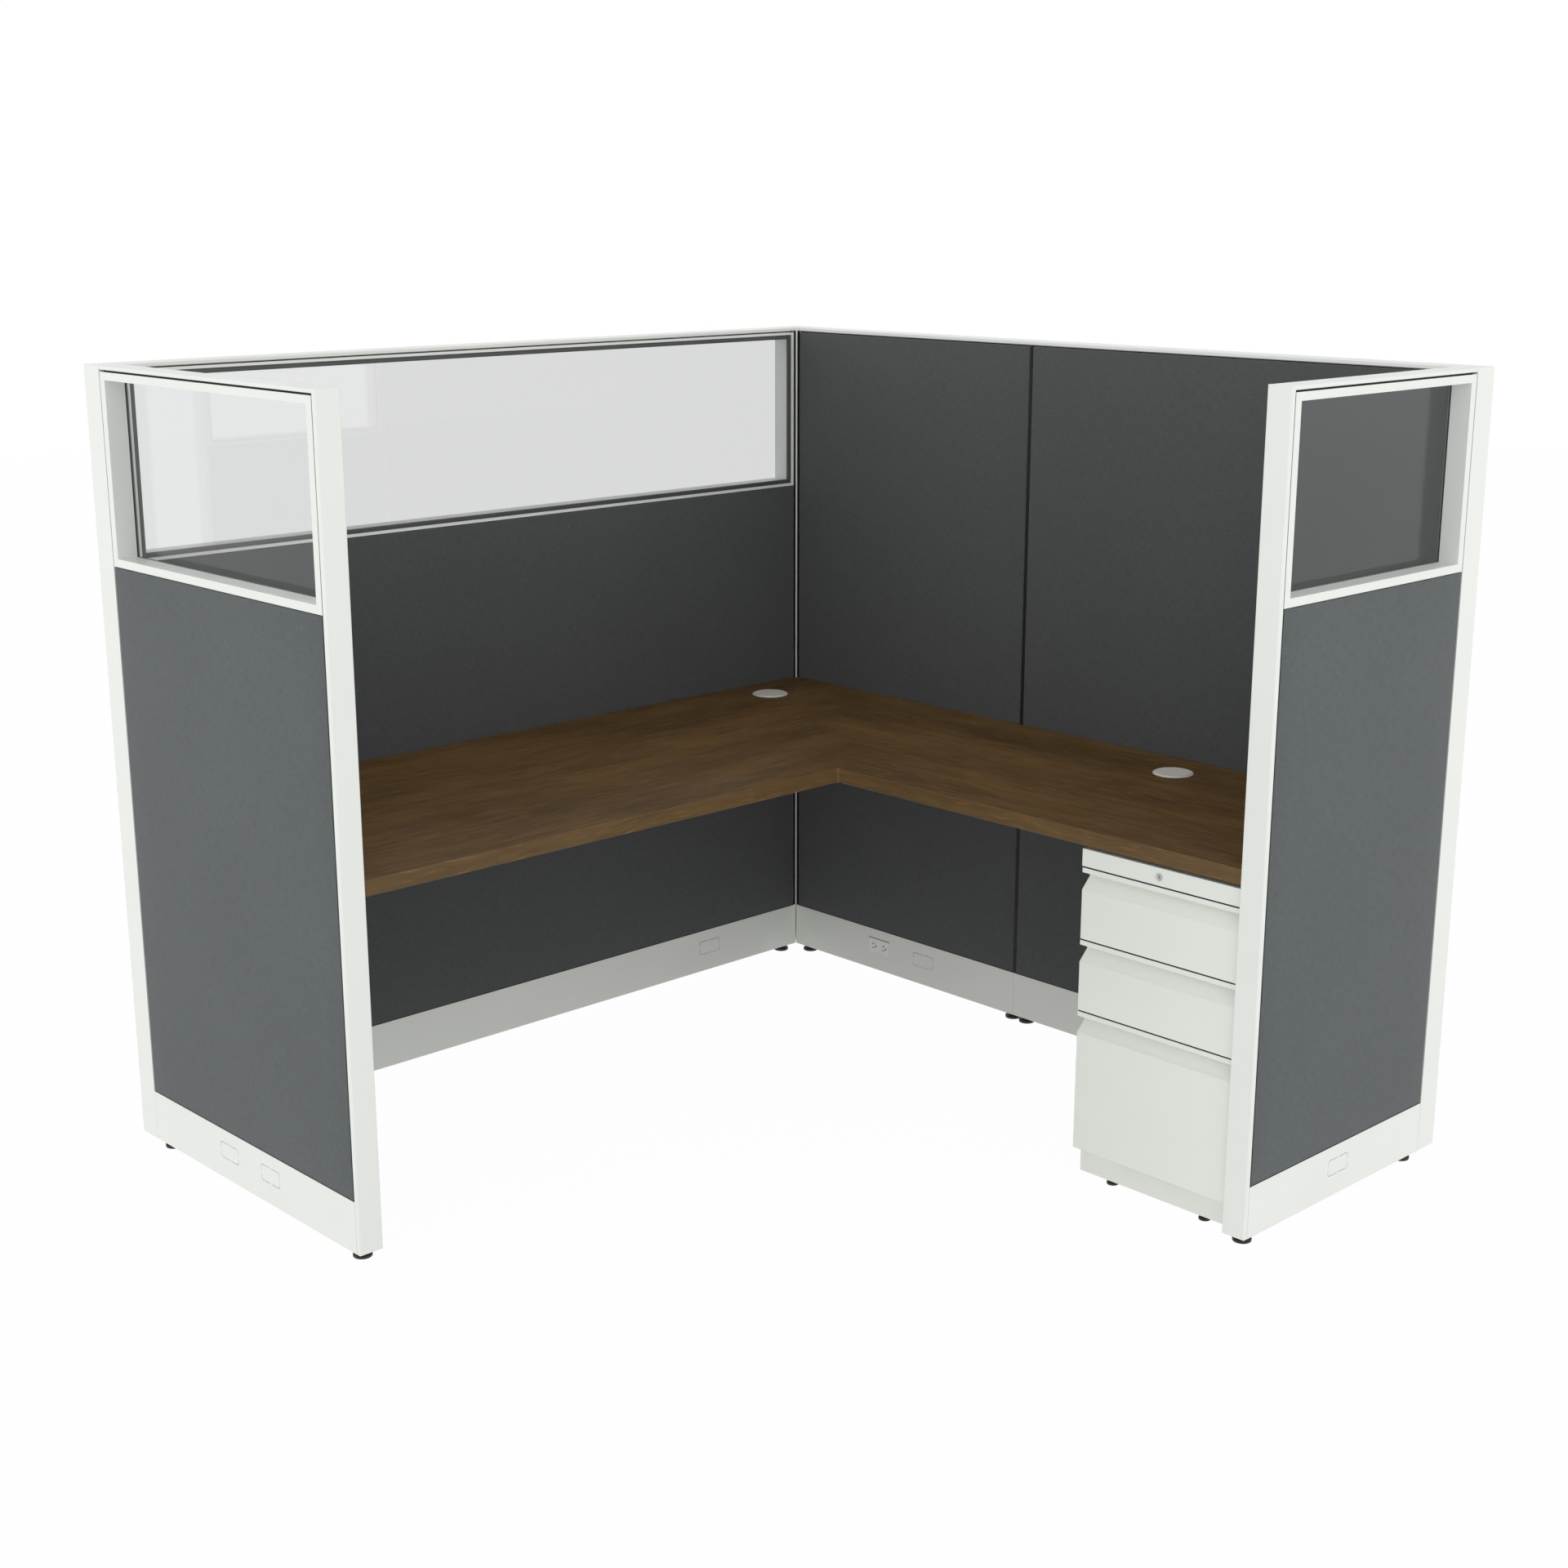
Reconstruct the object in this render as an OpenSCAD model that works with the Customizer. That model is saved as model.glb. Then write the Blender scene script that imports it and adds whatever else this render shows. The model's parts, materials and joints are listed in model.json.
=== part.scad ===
// Cubicle workstation: fabric panels with glazed windows, an L-shaped worksurface
// and a box/box/file pedestal. Origin at the centre of the plan, on the floor.
// +X runs along the back wall, +Y runs along the long side wall, +Z is up.
// Panels are drawn in a frame of their own: u along the panel, d in from its outer face.

/* [Panel modules] */
// Length of the long side panel
side_module = 1828.8; // [1500:10:2200]
// Length of the back wall's shorter panel, and of the left wing
short_module = 762; // [640:2:900]
// Length of the back wall's longer panel
long_module = 1066.8; // [900:5:1300]
// Length of the right wing's panel
wing_module = 609.6; // [500:5:760]
// Thickness of a panel over its two tile faces
panel_t = 53; // [51:0.5:60]
// Height of the top of the cap above the floor
station_h = 1642.5; // [1560:5:1800]
// Height of the underside of base covers, posts and trims
base_z = 18; // [14:1:26]
// Height of the top of the base covers
base_top = 126; // [118:1:140]

/* [Tiles, caps and trims] */
// Thickness of a fabric tile
tile_t = 12; // [9:0.5:13]
// Radius of a tile's wrapped front edges
tile_edge_r = 3; // [1:0.5:5]
// Gap between a tile and the module's end
tile_gap = 2; // [1:0.5:3]
// Half the open gap between the back wall's two tiles
seam_half_gap = 4.5; // [3.5:0.5:8]
// Gap between base cover and tile, and between tile and window casing
tile_line = 1.2; // [0.8:0.1:2]
// Height of a top cap's visible edge
cap_h = 7.3; // [5:0.5:10]
// Dark gap under a top cap
cap_reveal = 4.2; // [3:0.5:6]
// How far caps and trims stand back from the tile face, each side
trim_step = 0.5; // [0.2:0.1:1]
// Visible width of an end trim
end_trim_w = 10.2; // [8:0.2:16]
// Radius of an end trim's long edges
end_trim_r = 2.5; // [1:0.5:4]
// Radius of a top cap's long edges
cap_r = 1.5; // [0.5:0.5:2.5]

/* [Corner posts] */
// Side of a square corner post
post_w = 60.8; // [60:0.2:70]
// Wall of a post's cover
post_skin = 2; // [1.2:0.2:3]
// Width of the light tip that shows in the inner corner
post_tip = 3.2; // [2.6:0.2:5]

/* [Steel frames] */
// Width of an upright's tube along the panel
upright_w = 14; // [12.4:0.2:14]
// Distance from the module's end to the upright
upright_inset = 3.2; // [2.8:0.1:3.4]
// Wall of the frame's tubes
tube_wall = 1.6; // [1.2:0.1:2.5]
// Height of the top rail
top_rail_h = 16; // [14:0.5:18]
// Height of the bottom rail
bottom_rail_h = 25; // [20:1:40]
// Height of the rail under a window
mid_rail_h = 24; // [20:1:40]
// Height of the cross rail in a panel without a window
cross_rail_h = 30; // [20:1:50]
// Thickness of a foot plate
foot_plate_t = 4; // [3:0.5:6]
// Diameter of a levelling glide's foot
glide_d = 38; // [30:1:40]
// Diameter of a levelling glide's stem
glide_stem_d = 8; // [6:0.5:8]
// Distance from the module's end to a glide
glide_inset = 22; // [21.4:0.2:26]

/* [Windows] */
// Height of the sill above the floor
window_sill = 1265; // [1150:5:1350]
// Width of a casing at the window's sides
ring_side = 17.8; // [17.2:0.1:19]
// Width of a casing above the window
ring_top = 16; // [15.4:0.2:18]
// Width of a casing below the window
ring_bottom = 16.8; // [15:0.2:20]
// Sheet thickness of the casings
casing_t = 1.5; // [1:0.1:2]
// Thickness of the glass
glass_t = 5; // [4:0.5:6]
// How far the glass reaches behind the opening's edge
glass_lap = 8; // [5:0.5:8.5]
// Width of the dark gasket that holds the glass
gasket_w = 10; // [9.7:0.1:11]
// Thickness of the gasket
gasket_t = 3.3; // [2:0.1:3.4]

/* [Base covers and power] */
// Sheet thickness of the base covers
cover_t = 1.2; // [0.8:0.1:1.6]
// Depth of a base cover's bottom return
cover_return = 14; // [8:1:14]
// Width of a knockout
knockout_w = 69; // [60:1:74]
// Height of a knockout
knockout_h = 35; // [28:1:38]
// Distance from the module's end to a knockout's centre
knockout_pitch = 303; // [280:1:304]
// Height of a knockout's centre
knockout_z = 80.5; // [70:0.5:90]
// Width of the receptacle's face
receptacle_w = 74; // [66:1:80]
// Height of the receptacle's face
receptacle_h = 40; // [34:1:42]

/* [Worksurface] */
// Space between the pedestal's top and the worksurface
pedestal_clearance = 7.8; // [6:0.2:20]
// Thickness of the worksurface
worksurface_t = 31.8; // [25:0.2:38]
// Depth of the left run from the outer face to its front edge
left_run = 827; // [700:1:900]
// Space between the pedestal's back and the back wall's tiles, under the right run
pedestal_back_gap = 32.4; // [20:0.4:60]
// Clearance between the worksurface and the tiles
worksurface_gap = 2.5; // [1:0.5:4]
// Thickness of the edge band
edge_band_t = 2; // [1:0.5:3]
// Radius of the inner corner between the two runs
inner_corner_r = 6; // [4:1:30]
// Diameter of a grommet's flange
grommet_d = 89; // [80:1:100]
// Diameter of the grommet's hole in the worksurface
grommet_hole_d = 76.2; // [70:0.2:78]
// Place of the corner grommet from the outer faces of the side and back walls
corner_grommet = [163.6, 250.6];
// Place of the right grommet from the outer faces of the side and back walls
right_grommet = [1358.5, 171.8];

/* [Pedestal] */
// Width of the pedestal
pedestal_w = 381; // [360:1:400]
// Depth of the pedestal over its fronts
pedestal_depth = 581; // [540:1:590]
// Height of the pedestal's top, which the worksurface follows
pedestal_h = 710.8; // [660:0.2:760]
// Gap between the pedestal and the right wing's tile
pedestal_side_gap = 4.9; // [4:0.1:12]
// How far the fronts stand behind the worksurface's edge
pedestal_setback = 4; // [0:1:20]
// Thickness of a drawer front
front_t = 27; // [25:1:32]
// Height of the top rail that holds the lock
lock_rail_h = 36.3; // [34:0.1:38]
// Height of a box drawer's front
box_front_h = 148.5; // [140:0.5:152]
// Height of the file drawer's front above the case's underside
file_front_rise = 5.5; // [3:0.5:8]
// Gap between two fronts
front_gap = 3; // [2:0.5:5]
// How far a front stands in from the pedestal's side
front_inset = 1.8; // [1:0.1:3]
// Height of the lip over a drawer's pull
pull_lip = 10; // [8:0.5:12]
// Height from a front's top to the lower edge of its pull
pull_h = 45.8; // [40:0.2:48]
// Depth of the pull behind the front's face
pull_depth = 23.5; // [20:0.5:23.5]
// Sheet thickness of the case
case_t = 1.5; // [1:0.1:2]
// Height of the case's underside
case_z = 66; // [60:1:71]
// Height of the plinth's underside
plinth_z = 11; // [8:1:16]
// Diameter of the lock's bezel
lock_d = 16; // [14:0.5:20]
// Height that the lock bar rises when the lock is turned
lock_lift = 8; // [6:0.5:8]

/* [Hidden] */
$fn = 48;
// Overrun of a cut past the solid
over = 1;
// Gap between pieces that are seated but not joined
seat = 0.3;
// Running clearance round a turning shaft
run_gap = 0.05;
width = post_w + short_module + long_module + post_w;
depth = post_w + side_module + post_w;
frame_t = panel_t - 2 * tile_t;
mid_d = panel_t / 2;
cap_under = station_h - cap_h;
tile_top = cap_under - cap_reveal;
tile_bottom = base_top + tile_line;
window_head = tile_top - ring_top;
ring_z = window_sill - ring_bottom;
worksurface_low = pedestal_h + pedestal_clearance;
worksurface_z = worksurface_low + worksurface_t;
right_run = panel_t + pedestal_back_gap + pedestal_depth + pedestal_setback;
ring_gap = tile_gap;
opening_inset = ring_gap + ring_side;
foot_low = base_z + cover_t + seat;
foot_z = foot_low + foot_plate_t;
bottom_rail_drop = 8;
bottom_rail_z = base_top - bottom_rail_drop;
top_rail_z = window_head + casing_t + seat;
top_rail_end = top_rail_z + top_rail_h;
cross_rail_z = worksurface_low - cross_rail_h;
foot_reach = glide_inset + 2 * glide_stem_d;

// Widths and depths of small parts
knockout_slit = 1.2;
knockout_bridge = 6;
knockout_r = 6;
seal_t = 2;
seal_w = 6.8;
seal_lap = 0.5;
post_rib_t = 2;
connector_d = 9;
connector_head_t = 3;
connector_heights_share = [0.12, 0.42, 0.74];
carrier_t = 1.6;
carrier_h = 50;
carrier_flange = 10;
carrier_end_gap = 4;
power_block = [130, 10, 38];
socket_slot = [8.5, 2.2];
socket_hole_d = 5;
socket_pitch = 36;
socket_slot_gap = 11;
socket_depth = 6;
receptacle_proud = 0.5;
bracket_leg = 38;
bracket_t = 3;
bracket_end_share = 0.06;
wall_bracket_l = 300;
cantilever_l = 480;
cantilever_root_h = 120;
cantilever_tip_h = 24;
cantilever_flange = 40;
stiffener_w = 50;
stiffener_h = 25;
stiffener_inset = 260;
spacer_w = 30;
spacer_inset = 50;
grommet_flange_t = 2.2;
grommet_rebate = 0.5;
grommet_wall = 2.4;
grommet_depth = 25;
grommet_cap_t = 3.4;
grommet_rim = 3.2;
glide_foot_t = 7;
glide_nut_d = 16;
glide_stem_top = 60;

// Pedestal
ped_x1 = width - panel_t - pedestal_side_gap;
ped_x0 = ped_x1 - pedestal_w;
ped_mid = (ped_x0 + ped_x1) / 2;
ped_y0 = depth - right_run + pedestal_setback;
ped_y1 = ped_y0 + pedestal_depth;
front_stand_off = 0.5;
case_y0 = ped_y0 + front_t + front_stand_off;
rail_z = pedestal_h - lock_rail_h;
file_front_h = rail_z - 3 * front_gap - 2 * box_front_h - case_z - file_front_rise;
front_tops = [
    rail_z - front_gap,
    rail_z - 2 * front_gap - box_front_h,
    rail_z - 3 * front_gap - 2 * box_front_h
];
front_heights = [box_front_h, box_front_h, file_front_h];
front_skin = 1.2;
front_hem_slot = 8;
hem_slot_share = 0.25;
drawer_wall = 1.2;
drawer_drop = 22;
drawer_rise = 18;
drawer_back_gap = 20;
slide_t = 12.7;
slide_h = 45.7;
slide_skin = 1.2;
slide_play = 0.5;
case_member_share = 0.8;
middle_web_share = 0.3;
slide_front_gap = 5;
slide_rise = 22;
slide_l = ped_y1 - case_t - case_y0 - slide_front_gap - drawer_back_gap;
drawer_side_x = case_t + slide_t + seat;
drawer_y1 = ped_y1 - case_t - drawer_back_gap;
hang_rail_t = 1.5;
hang_rail_h = 14;
plinth_t = 1.5;
plinth_setback = 29;
plinth_flange = 34;
ped_glide_d = 25;
ped_glide_inset = [75, 14];
ped_glide_stem_d = 8;
rail_skin = 1.5;

// Lock
lock_z = pedestal_h - lock_rail_h / 2;
lock_bezel_t = 1.5;
lock_body_d = 14;
lock_body_l = 20;
lock_plug_d = 10;
lock_shaft_d = 6;
lock_slot = [1.6, 7];
lock_slot_depth = 3;
lock_half_turn = 45;
lock_pin_r = lock_lift / 2 / sin(lock_half_turn);
lock_pin_d = 4;
lock_pin_play = 0.35;
lock_crank_t = 3;
bar_t = 2;
bar_w = 26;
bar_back_gap = 5;
bar_guide_heights_share = [0.33, 0.75];
bar_y = ped_y1 - case_t - bar_back_gap - bar_t;
bar_head_h = 26;
hook_reach = 7;
hook_w = 16;
hook_clear = 1.5;
hook_foot_h = 12;
hook_h = lock_lift + hook_clear;
catch_lip_h = 10;
catch_t = 1.5;
catch_gap = 3;
catch_drop = 40;
hanger_gap = 16;
hanger_t = 3;
hanger_w = 30;

white = [0.92, 0.935, 0.915];
shade_white = [0.86, 0.87, 0.855];
slate = [0.36, 0.385, 0.385];
charcoal = [0.09, 0.09, 0.09];
steel = [0.62, 0.63, 0.64];
walnut = [0.32, 0.23, 0.15];
walnut_edge = [0.37, 0.27, 0.18];

// Placement of the four walls

module station() {
    translate([-width / 2, -depth / 2, 0]) children();
}

module on_side_wall() {
    station() translate([0, post_w, 0]) mirror([1, -1, 0]) children();
}

module on_back_wall(start) {
    station() translate([post_w + start, depth, 0]) mirror([0, 1, 0]) children();
}

module on_left_wing() {
    station() translate([post_w, 0, 0]) children();
}

module on_right_wing() {
    station() translate([width, depth - post_w, 0]) mirror([1, 1, 0]) children();
}

module on_posts() {
    station() {
        children();
        translate([0, depth, 0]) mirror([0, 1, 0]) children();
        translate([width, depth, 0]) mirror([1, 0, 0]) mirror([0, 1, 0]) children();
    }
}

// General shapes

module block(low, high) {
    translate(low) cube(high - low);
}

// Extrudes a profile, drawn as [d, z], along u
module along_u(length) {
    rotate([90, 0, 90]) linear_extrude(length) children();
}

// Rectangle whose corners on the side of low y are rounded
module front_rounded(w, h, r) {
    translate([0, r]) square([w, h - r]);
    translate([r, 0]) square([w - 2 * r, r]);
    for (x = [r, w - r]) translate([x, r]) circle(r);
}

module rounded(w, h, r) {
    translate([r, 0]) square([w - 2 * r, h]);
    translate([0, r]) square([w, h - 2 * r]);
    for (x = [r, w - r]) for (y = [r, h - r]) translate([x, y]) circle(r);
}

// Steel frames: rails between two uprights, with foot plates below

module upright(u) {
    difference() {
        block([u, tile_t, foot_z + seat], [u + upright_w, panel_t - tile_t, top_rail_end]);
        block([u + tube_wall, tile_t + tube_wall, foot_z],
              [u + upright_w - tube_wall, panel_t - tile_t - tube_wall, top_rail_end + over]);
    }
}

module rail(length, low, height) {
    start = upright_inset + upright_w + seat;
    translate([start, 0, 0]) along_u(length - 2 * start) difference() {
        translate([tile_t, low]) square([frame_t, height]);
        translate([tile_t + tube_wall, low + tube_wall])
            square([frame_t - 2 * tube_wall, height - 2 * tube_wall]);
    }
}

module feet(length) {
    difference() {
        for (u = [upright_inset, length - upright_inset - foot_reach])
            block([u, tile_t + tube_wall, foot_low],
                  [u + foot_reach, panel_t - tile_t - tube_wall, foot_z]);
        for (u = [glide_inset, length - glide_inset])
            translate([u, mid_d, foot_low - over])
                cylinder(h = foot_plate_t + 2 * over, d = glide_stem_d + 2 * run_gap);
    }
}

module panel_frame(length, window) {
    middle_rail = window
        ? [window_sill - casing_t - seat - mid_rail_h, mid_rail_h]
        : [cross_rail_z, cross_rail_h];
    color(charcoal) {
        for (u = [upright_inset, length - upright_inset - upright_w]) upright(u);
        for (r = [[bottom_rail_z, bottom_rail_h], middle_rail, [top_rail_z, top_rail_h]])
            rail(length, r[0], r[1]);
        feet(length);
    }
}

// Fabric tiles: start and end are the gaps to the module's ends

module tile_profile(length, start, end) {
    translate([start, 0]) front_rounded(length - start - end, tile_t, tile_edge_r);
}

module outer_tile(length, top, start = tile_gap, end = tile_gap) {
    color(slate) translate([0, 0, tile_bottom])
        linear_extrude(top - tile_bottom) tile_profile(length, start, end);
}

module inner_tile(length, top, start = tile_gap, end = tile_gap) {
    translate([0, panel_t, 0]) mirror([0, 1, 0]) outer_tile(length, top, start, end);
}

// Windows: a casing ring reaches e out from the opening's edge

module window_block(length, e, d0, d1) {
    block([opening_inset - e, d0, window_sill - e], [length - opening_inset + e, d1, window_head + e]);
}

module casing_block(length, inset, d0, d1) {
    block([ring_gap + inset, d0, ring_z + inset], [length - ring_gap - inset, d1, tile_top - inset]);
}

return_d = panel_t - tile_t + seat;
glass_d = return_d + casing_t + seat;
gasket_d = glass_d + glass_t + seat / 2;

module outer_casing(length) {
    difference() {
        union() {
            casing_block(length, 0, 0, casing_t);
            window_block(length, casing_t, 0, return_d + casing_t);
            window_block(length, gasket_w - 2 * seat, return_d, return_d + casing_t);
        }
        window_block(length, 0, -over, panel_t + over);
    }
}

module inner_casing(length) {
    difference() {
        casing_block(length, 0, return_d, panel_t);
        window_block(length, gasket_w, return_d - over, panel_t + over);
        difference() {
            casing_block(length, casing_t, return_d - over, panel_t - casing_t);
            window_block(length, gasket_w + casing_t, return_d - 2 * over, panel_t);
        }
    }
}

module window_casings(length) {
    color(white) {
        outer_casing(length);
        inner_casing(length);
    }
}

module window_glass(length) {
    color([0.85, 0.9, 0.9, 0.3]) window_block(length, glass_lap, glass_d, glass_d + glass_t);
}

module window_gasket(length) {
    color(charcoal) difference() {
        window_block(length, gasket_w - seat, gasket_d, gasket_d + gasket_t);
        window_block(length, 0, gasket_d - over, panel_t + over);
    }
}

// Top caps: a strip under the cap rests on the frame's top rail

module cap(length) {
    cap_w = panel_t - 2 * trim_step;
    color(white) translate([seat / 2, 0, 0]) along_u(length - seat) {
        translate([trim_step, station_h]) mirror([0, 1]) front_rounded(cap_w, cap_h, cap_r);
        translate([tile_t + seat, top_rail_end]) square([frame_t - 2 * seat, cap_under - seat - top_rail_end]);
    }
}

// Corner posts, drawn for the corner whose outer faces are x = 0 and y = 0

module post_core() {
    color(steel) difference() {
        block([tile_t, tile_t, foot_low], [panel_t - tile_t, panel_t - tile_t, top_rail_end]);
        block([tile_t + tube_wall, tile_t + tube_wall, foot_low - over],
              [panel_t - tile_t - tube_wall, panel_t - tile_t - tube_wall, top_rail_end + over]);
    }
}

module post_cover_leg() {
    square([post_w - seat, post_skin]);
    for (u = [tile_t + post_rib_t, panel_t - tile_t - 2 * post_rib_t])
        translate([u, 0]) square([post_rib_t, tile_t - seat]);
    translate([post_w - seat - post_skin, 0]) square([post_skin, tile_t - seat]);
}

module post_cover() {
    color(white) {
        translate([0, 0, base_z]) linear_extrude(cap_under - base_z) {
            post_cover_leg();
            mirror([1, -1]) post_cover_leg();
        }
        block([0, 0, cap_under], [post_w - seat / 2, post_w - seat / 2, station_h]);
    }
}

tip_block = post_w - post_tip + seal_lap;

module inner_corner_trim() {
    tip_start = post_w - post_tip;
    color(white) translate([0, 0, tile_bottom]) linear_extrude(cap_under - seat - tile_bottom) {
        translate([panel_t - tile_t + seat, panel_t - tile_t + seat])
            square(tip_block - panel_t + tile_t - seat);
        translate([tip_start, tip_start]) square(post_tip);
    }
}

module corner_seal() {
    color(charcoal) translate([0, 0, tile_bottom]) linear_extrude(cap_under - seat - tile_bottom) {
        translate([tip_block - post_tip / 2 - seal_w, tip_block]) square([seal_w, seal_t]);
        translate([tip_block, tip_block - post_tip / 2 - seal_w]) square([seal_t, seal_w]);
    }
}

module end_trim(length) {
    color(white) translate([length, trim_step, 0]) {
        difference() {
            translate([0, 0, base_z]) linear_extrude(station_h - base_z) mirror([1, -1])
                translate([0, end_trim_w]) mirror([0, 1])
                    front_rounded(panel_t - 2 * trim_step, end_trim_w, end_trim_r);
            block([-over, post_skin, base_z - over],
                  [end_trim_w - post_skin, panel_t - 2 * trim_step - post_skin, cap_under]);
        }
        for (d = [tile_t + post_rib_t - trim_step, panel_t - tile_t - 2 * post_rib_t - trim_step])
            block([seat - upright_inset, d, base_z],
                  [end_trim_w - post_skin, d + post_rib_t, top_rail_end - seat]);
    }
}

// Draw rods that tie the uprights to the posts and to each other

module connector(from, to) {
    for (s = connector_heights_share)
        translate([from, mid_d, s * station_h]) rotate([0, 90, 0]) {
            cylinder(h = to - from, d = connector_d);
            translate([0, 0, (to - from - connector_head_t) / 2])
                cylinder(h = connector_head_t, d = 2 * connector_d, $fn = 6);
        }
}

module post_connector() {
    connector(panel_t - tile_t - post_w, upright_inset);
}

module panel_connectors() {
    color(steel) {
        on_left_wing() post_connector();
        on_side_wall() {
            post_connector();
            translate([side_module, 0, 0]) mirror([1, 0, 0]) post_connector();
        }
        on_back_wall(0) post_connector();
        on_back_wall(short_module) connector(-upright_inset, upright_inset);
        on_back_wall(short_module + long_module) mirror([1, 0, 0]) post_connector();
        on_right_wing() post_connector();
    }
}

// Base covers

module cover_profile() {
    translate([0, base_z]) square([cover_t, base_top - base_z]);
    translate([0, base_z]) square([cover_return, cover_t]);
    translate([0, base_top - cover_t]) square([tile_t - seat, cover_t]);
    translate([tile_t - seat - cover_t, bottom_rail_z + seat]) square([cover_t, base_top - bottom_rail_z - seat]);
}

module knockout_slits() {
    translate([-knockout_w / 2, 0, -knockout_h / 2]) rotate([90, 0, 0])
        translate([0, 0, -cover_t - over]) difference() {
            linear_extrude(cover_t + 2 * over) difference() {
                rounded(knockout_w, knockout_h, knockout_r);
                translate([knockout_slit, knockout_slit])
                    rounded(knockout_w - 2 * knockout_slit, knockout_h - 2 * knockout_slit,
                            knockout_r - knockout_slit);
            }
            translate([(knockout_w - knockout_bridge) / 2, -over, -over])
                cube([knockout_bridge, knockout_h + 2 * over, cover_t + 4 * over]);
            translate([-over, (knockout_h - knockout_bridge) / 2, -over])
                cube([knockout_w + 2 * over, knockout_bridge, cover_t + 4 * over]);
        }
}

// start and end are how far the cover stops short of the module's ends, or runs past them
module base_cover(length, places, start = seat, end = seat) {
    color(shade_white) difference() {
        translate([start, 0, 0]) along_u(length - start - end) cover_profile();
        for (u = places) translate([u, 0, knockout_z]) knockout_slits();
    }
}

module inner_cover(length, places, start = seat, end = seat) {
    translate([0, panel_t, 0]) mirror([0, 1, 0]) base_cover(length, places, start, end);
}

// Two knockouts in a cover, or one in its middle where two don't fit
function knockouts(length) = length > 2 * (knockout_pitch + knockout_w)
    ? [knockout_pitch, length - knockout_pitch] : [length / 2];

// The inner covers run on to meet in the inner corners, where no post tip shows
corner_run = post_w - panel_t;

module outer_base_covers() {
    on_side_wall() base_cover(side_module, knockouts(side_module));
    on_back_wall(0) base_cover(short_module, knockouts(short_module));
    on_back_wall(short_module) base_cover(long_module, knockouts(long_module));
    on_left_wing() base_cover(short_module, knockouts(short_module));
    on_right_wing() base_cover(wing_module, knockouts(wing_module));
}

module inner_base_covers() {
    on_side_wall()
        inner_cover(side_module, knockouts(side_module), seat - corner_run, seat - corner_run + cover_t);
    beside_receptacle = [for (u = knockouts(short_module)) if (u > knockout_pitch + knockout_w) u];
    difference() {
        on_back_wall(0) inner_cover(short_module, beside_receptacle, seat - corner_run, seat);
        on_back_wall(0) block(
            [knockout_pitch - receptacle_w / 2 - seat, panel_t / 2, knockout_z - receptacle_h / 2 - seat],
            [knockout_pitch + receptacle_w / 2 + seat, panel_t + over, knockout_z + receptacle_h / 2 + seat]);
    }
    on_back_wall(short_module)
        inner_cover(long_module, knockouts(long_module), seat, seat - corner_run);
    on_left_wing() inner_cover(short_module, knockouts(short_module), seat - corner_run + cover_t, seat);
    on_right_wing() inner_cover(wing_module, knockouts(wing_module), seat - corner_run + cover_t, seat);
}

// Raceway carriers hang under the bottom rails and hold the power block

module carrier(length) {
    start = upright_inset + foot_reach + carrier_end_gap;
    low = bottom_rail_z - carrier_h;
    color(steel) translate([start, 0, 0]) along_u(length - 2 * start) {
        translate([mid_d - carrier_flange, bottom_rail_z - carrier_t])
            square([carrier_flange + carrier_t / 2, carrier_t]);
        translate([mid_d - carrier_t / 2, low]) square([carrier_t, carrier_h]);
        translate([mid_d - carrier_t / 2, low]) square([carrier_flange, carrier_t]);
    }
}

module raceway_carriers() {
    on_side_wall() carrier(side_module);
    on_back_wall(0) carrier(short_module);
    on_back_wall(short_module) carrier(long_module);
    on_left_wing() carrier(short_module);
    on_right_wing() carrier(wing_module);
}

power_d = mid_d + carrier_t / 2;
power_z = bottom_rail_z - carrier_h + carrier_t;

module power_block() {
    color(charcoal) on_back_wall(0) translate([knockout_pitch - power_block[0] / 2, power_d, power_z])
        cube(power_block);
}

module socket_cuts() {
    for (z = [-socket_slot_gap / 2, socket_slot_gap / 2])
        translate([-socket_slot[0] / 2 - socket_hole_d / 2, 0, z - socket_slot[1] / 2])
            cube([socket_slot[0], socket_depth + over, socket_slot[1]]);
    translate([socket_slot[0] / 2 + socket_hole_d / 2, 0, 0]) rotate([-90, 0, 0])
        cylinder(h = socket_depth + over, d = socket_hole_d);
}

module receptacle() {
    face = panel_t + receptacle_proud;
    color(shade_white) on_back_wall(0) difference() {
        block([knockout_pitch - receptacle_w / 2, power_d + power_block[1], knockout_z - receptacle_h / 2],
              [knockout_pitch + receptacle_w / 2, face, knockout_z + receptacle_h / 2]);
        for (u = [-socket_pitch / 2, socket_pitch / 2])
            translate([knockout_pitch + u, face - socket_depth, knockout_z]) socket_cuts();
    }
}

// Levelling glides

module glide(foot_d, foot_t, nut_z, stem_d, stem_top) {
    color(charcoal) {
        rotate_extrude() {
            square([foot_d / 2 - foot_t / 4, foot_t]);
            translate([0, foot_t / 4]) square([foot_d / 2, foot_t / 2]);
            for (z = [foot_t / 4, foot_t * 3 / 4]) translate([foot_d / 2 - foot_t / 4, z]) circle(foot_t / 4);
            polygon([[0, foot_t], [foot_d / 3, foot_t], [stem_d / 2, nut_z], [0, nut_z]]);
        }
        cylinder(h = stem_top, d = stem_d);
    }
}

module panel_glide_pair(length) {
    for (u = [glide_inset, length - glide_inset]) translate([u, mid_d, 0]) {
        glide(glide_d, glide_foot_t, foot_low - glide_stem_d / 2, glide_stem_d, glide_stem_top);
        color(steel) translate([0, 0, foot_low - glide_stem_d / 2])
            cylinder(h = glide_stem_d / 2, d = glide_nut_d, $fn = 6);
    }
}

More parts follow.
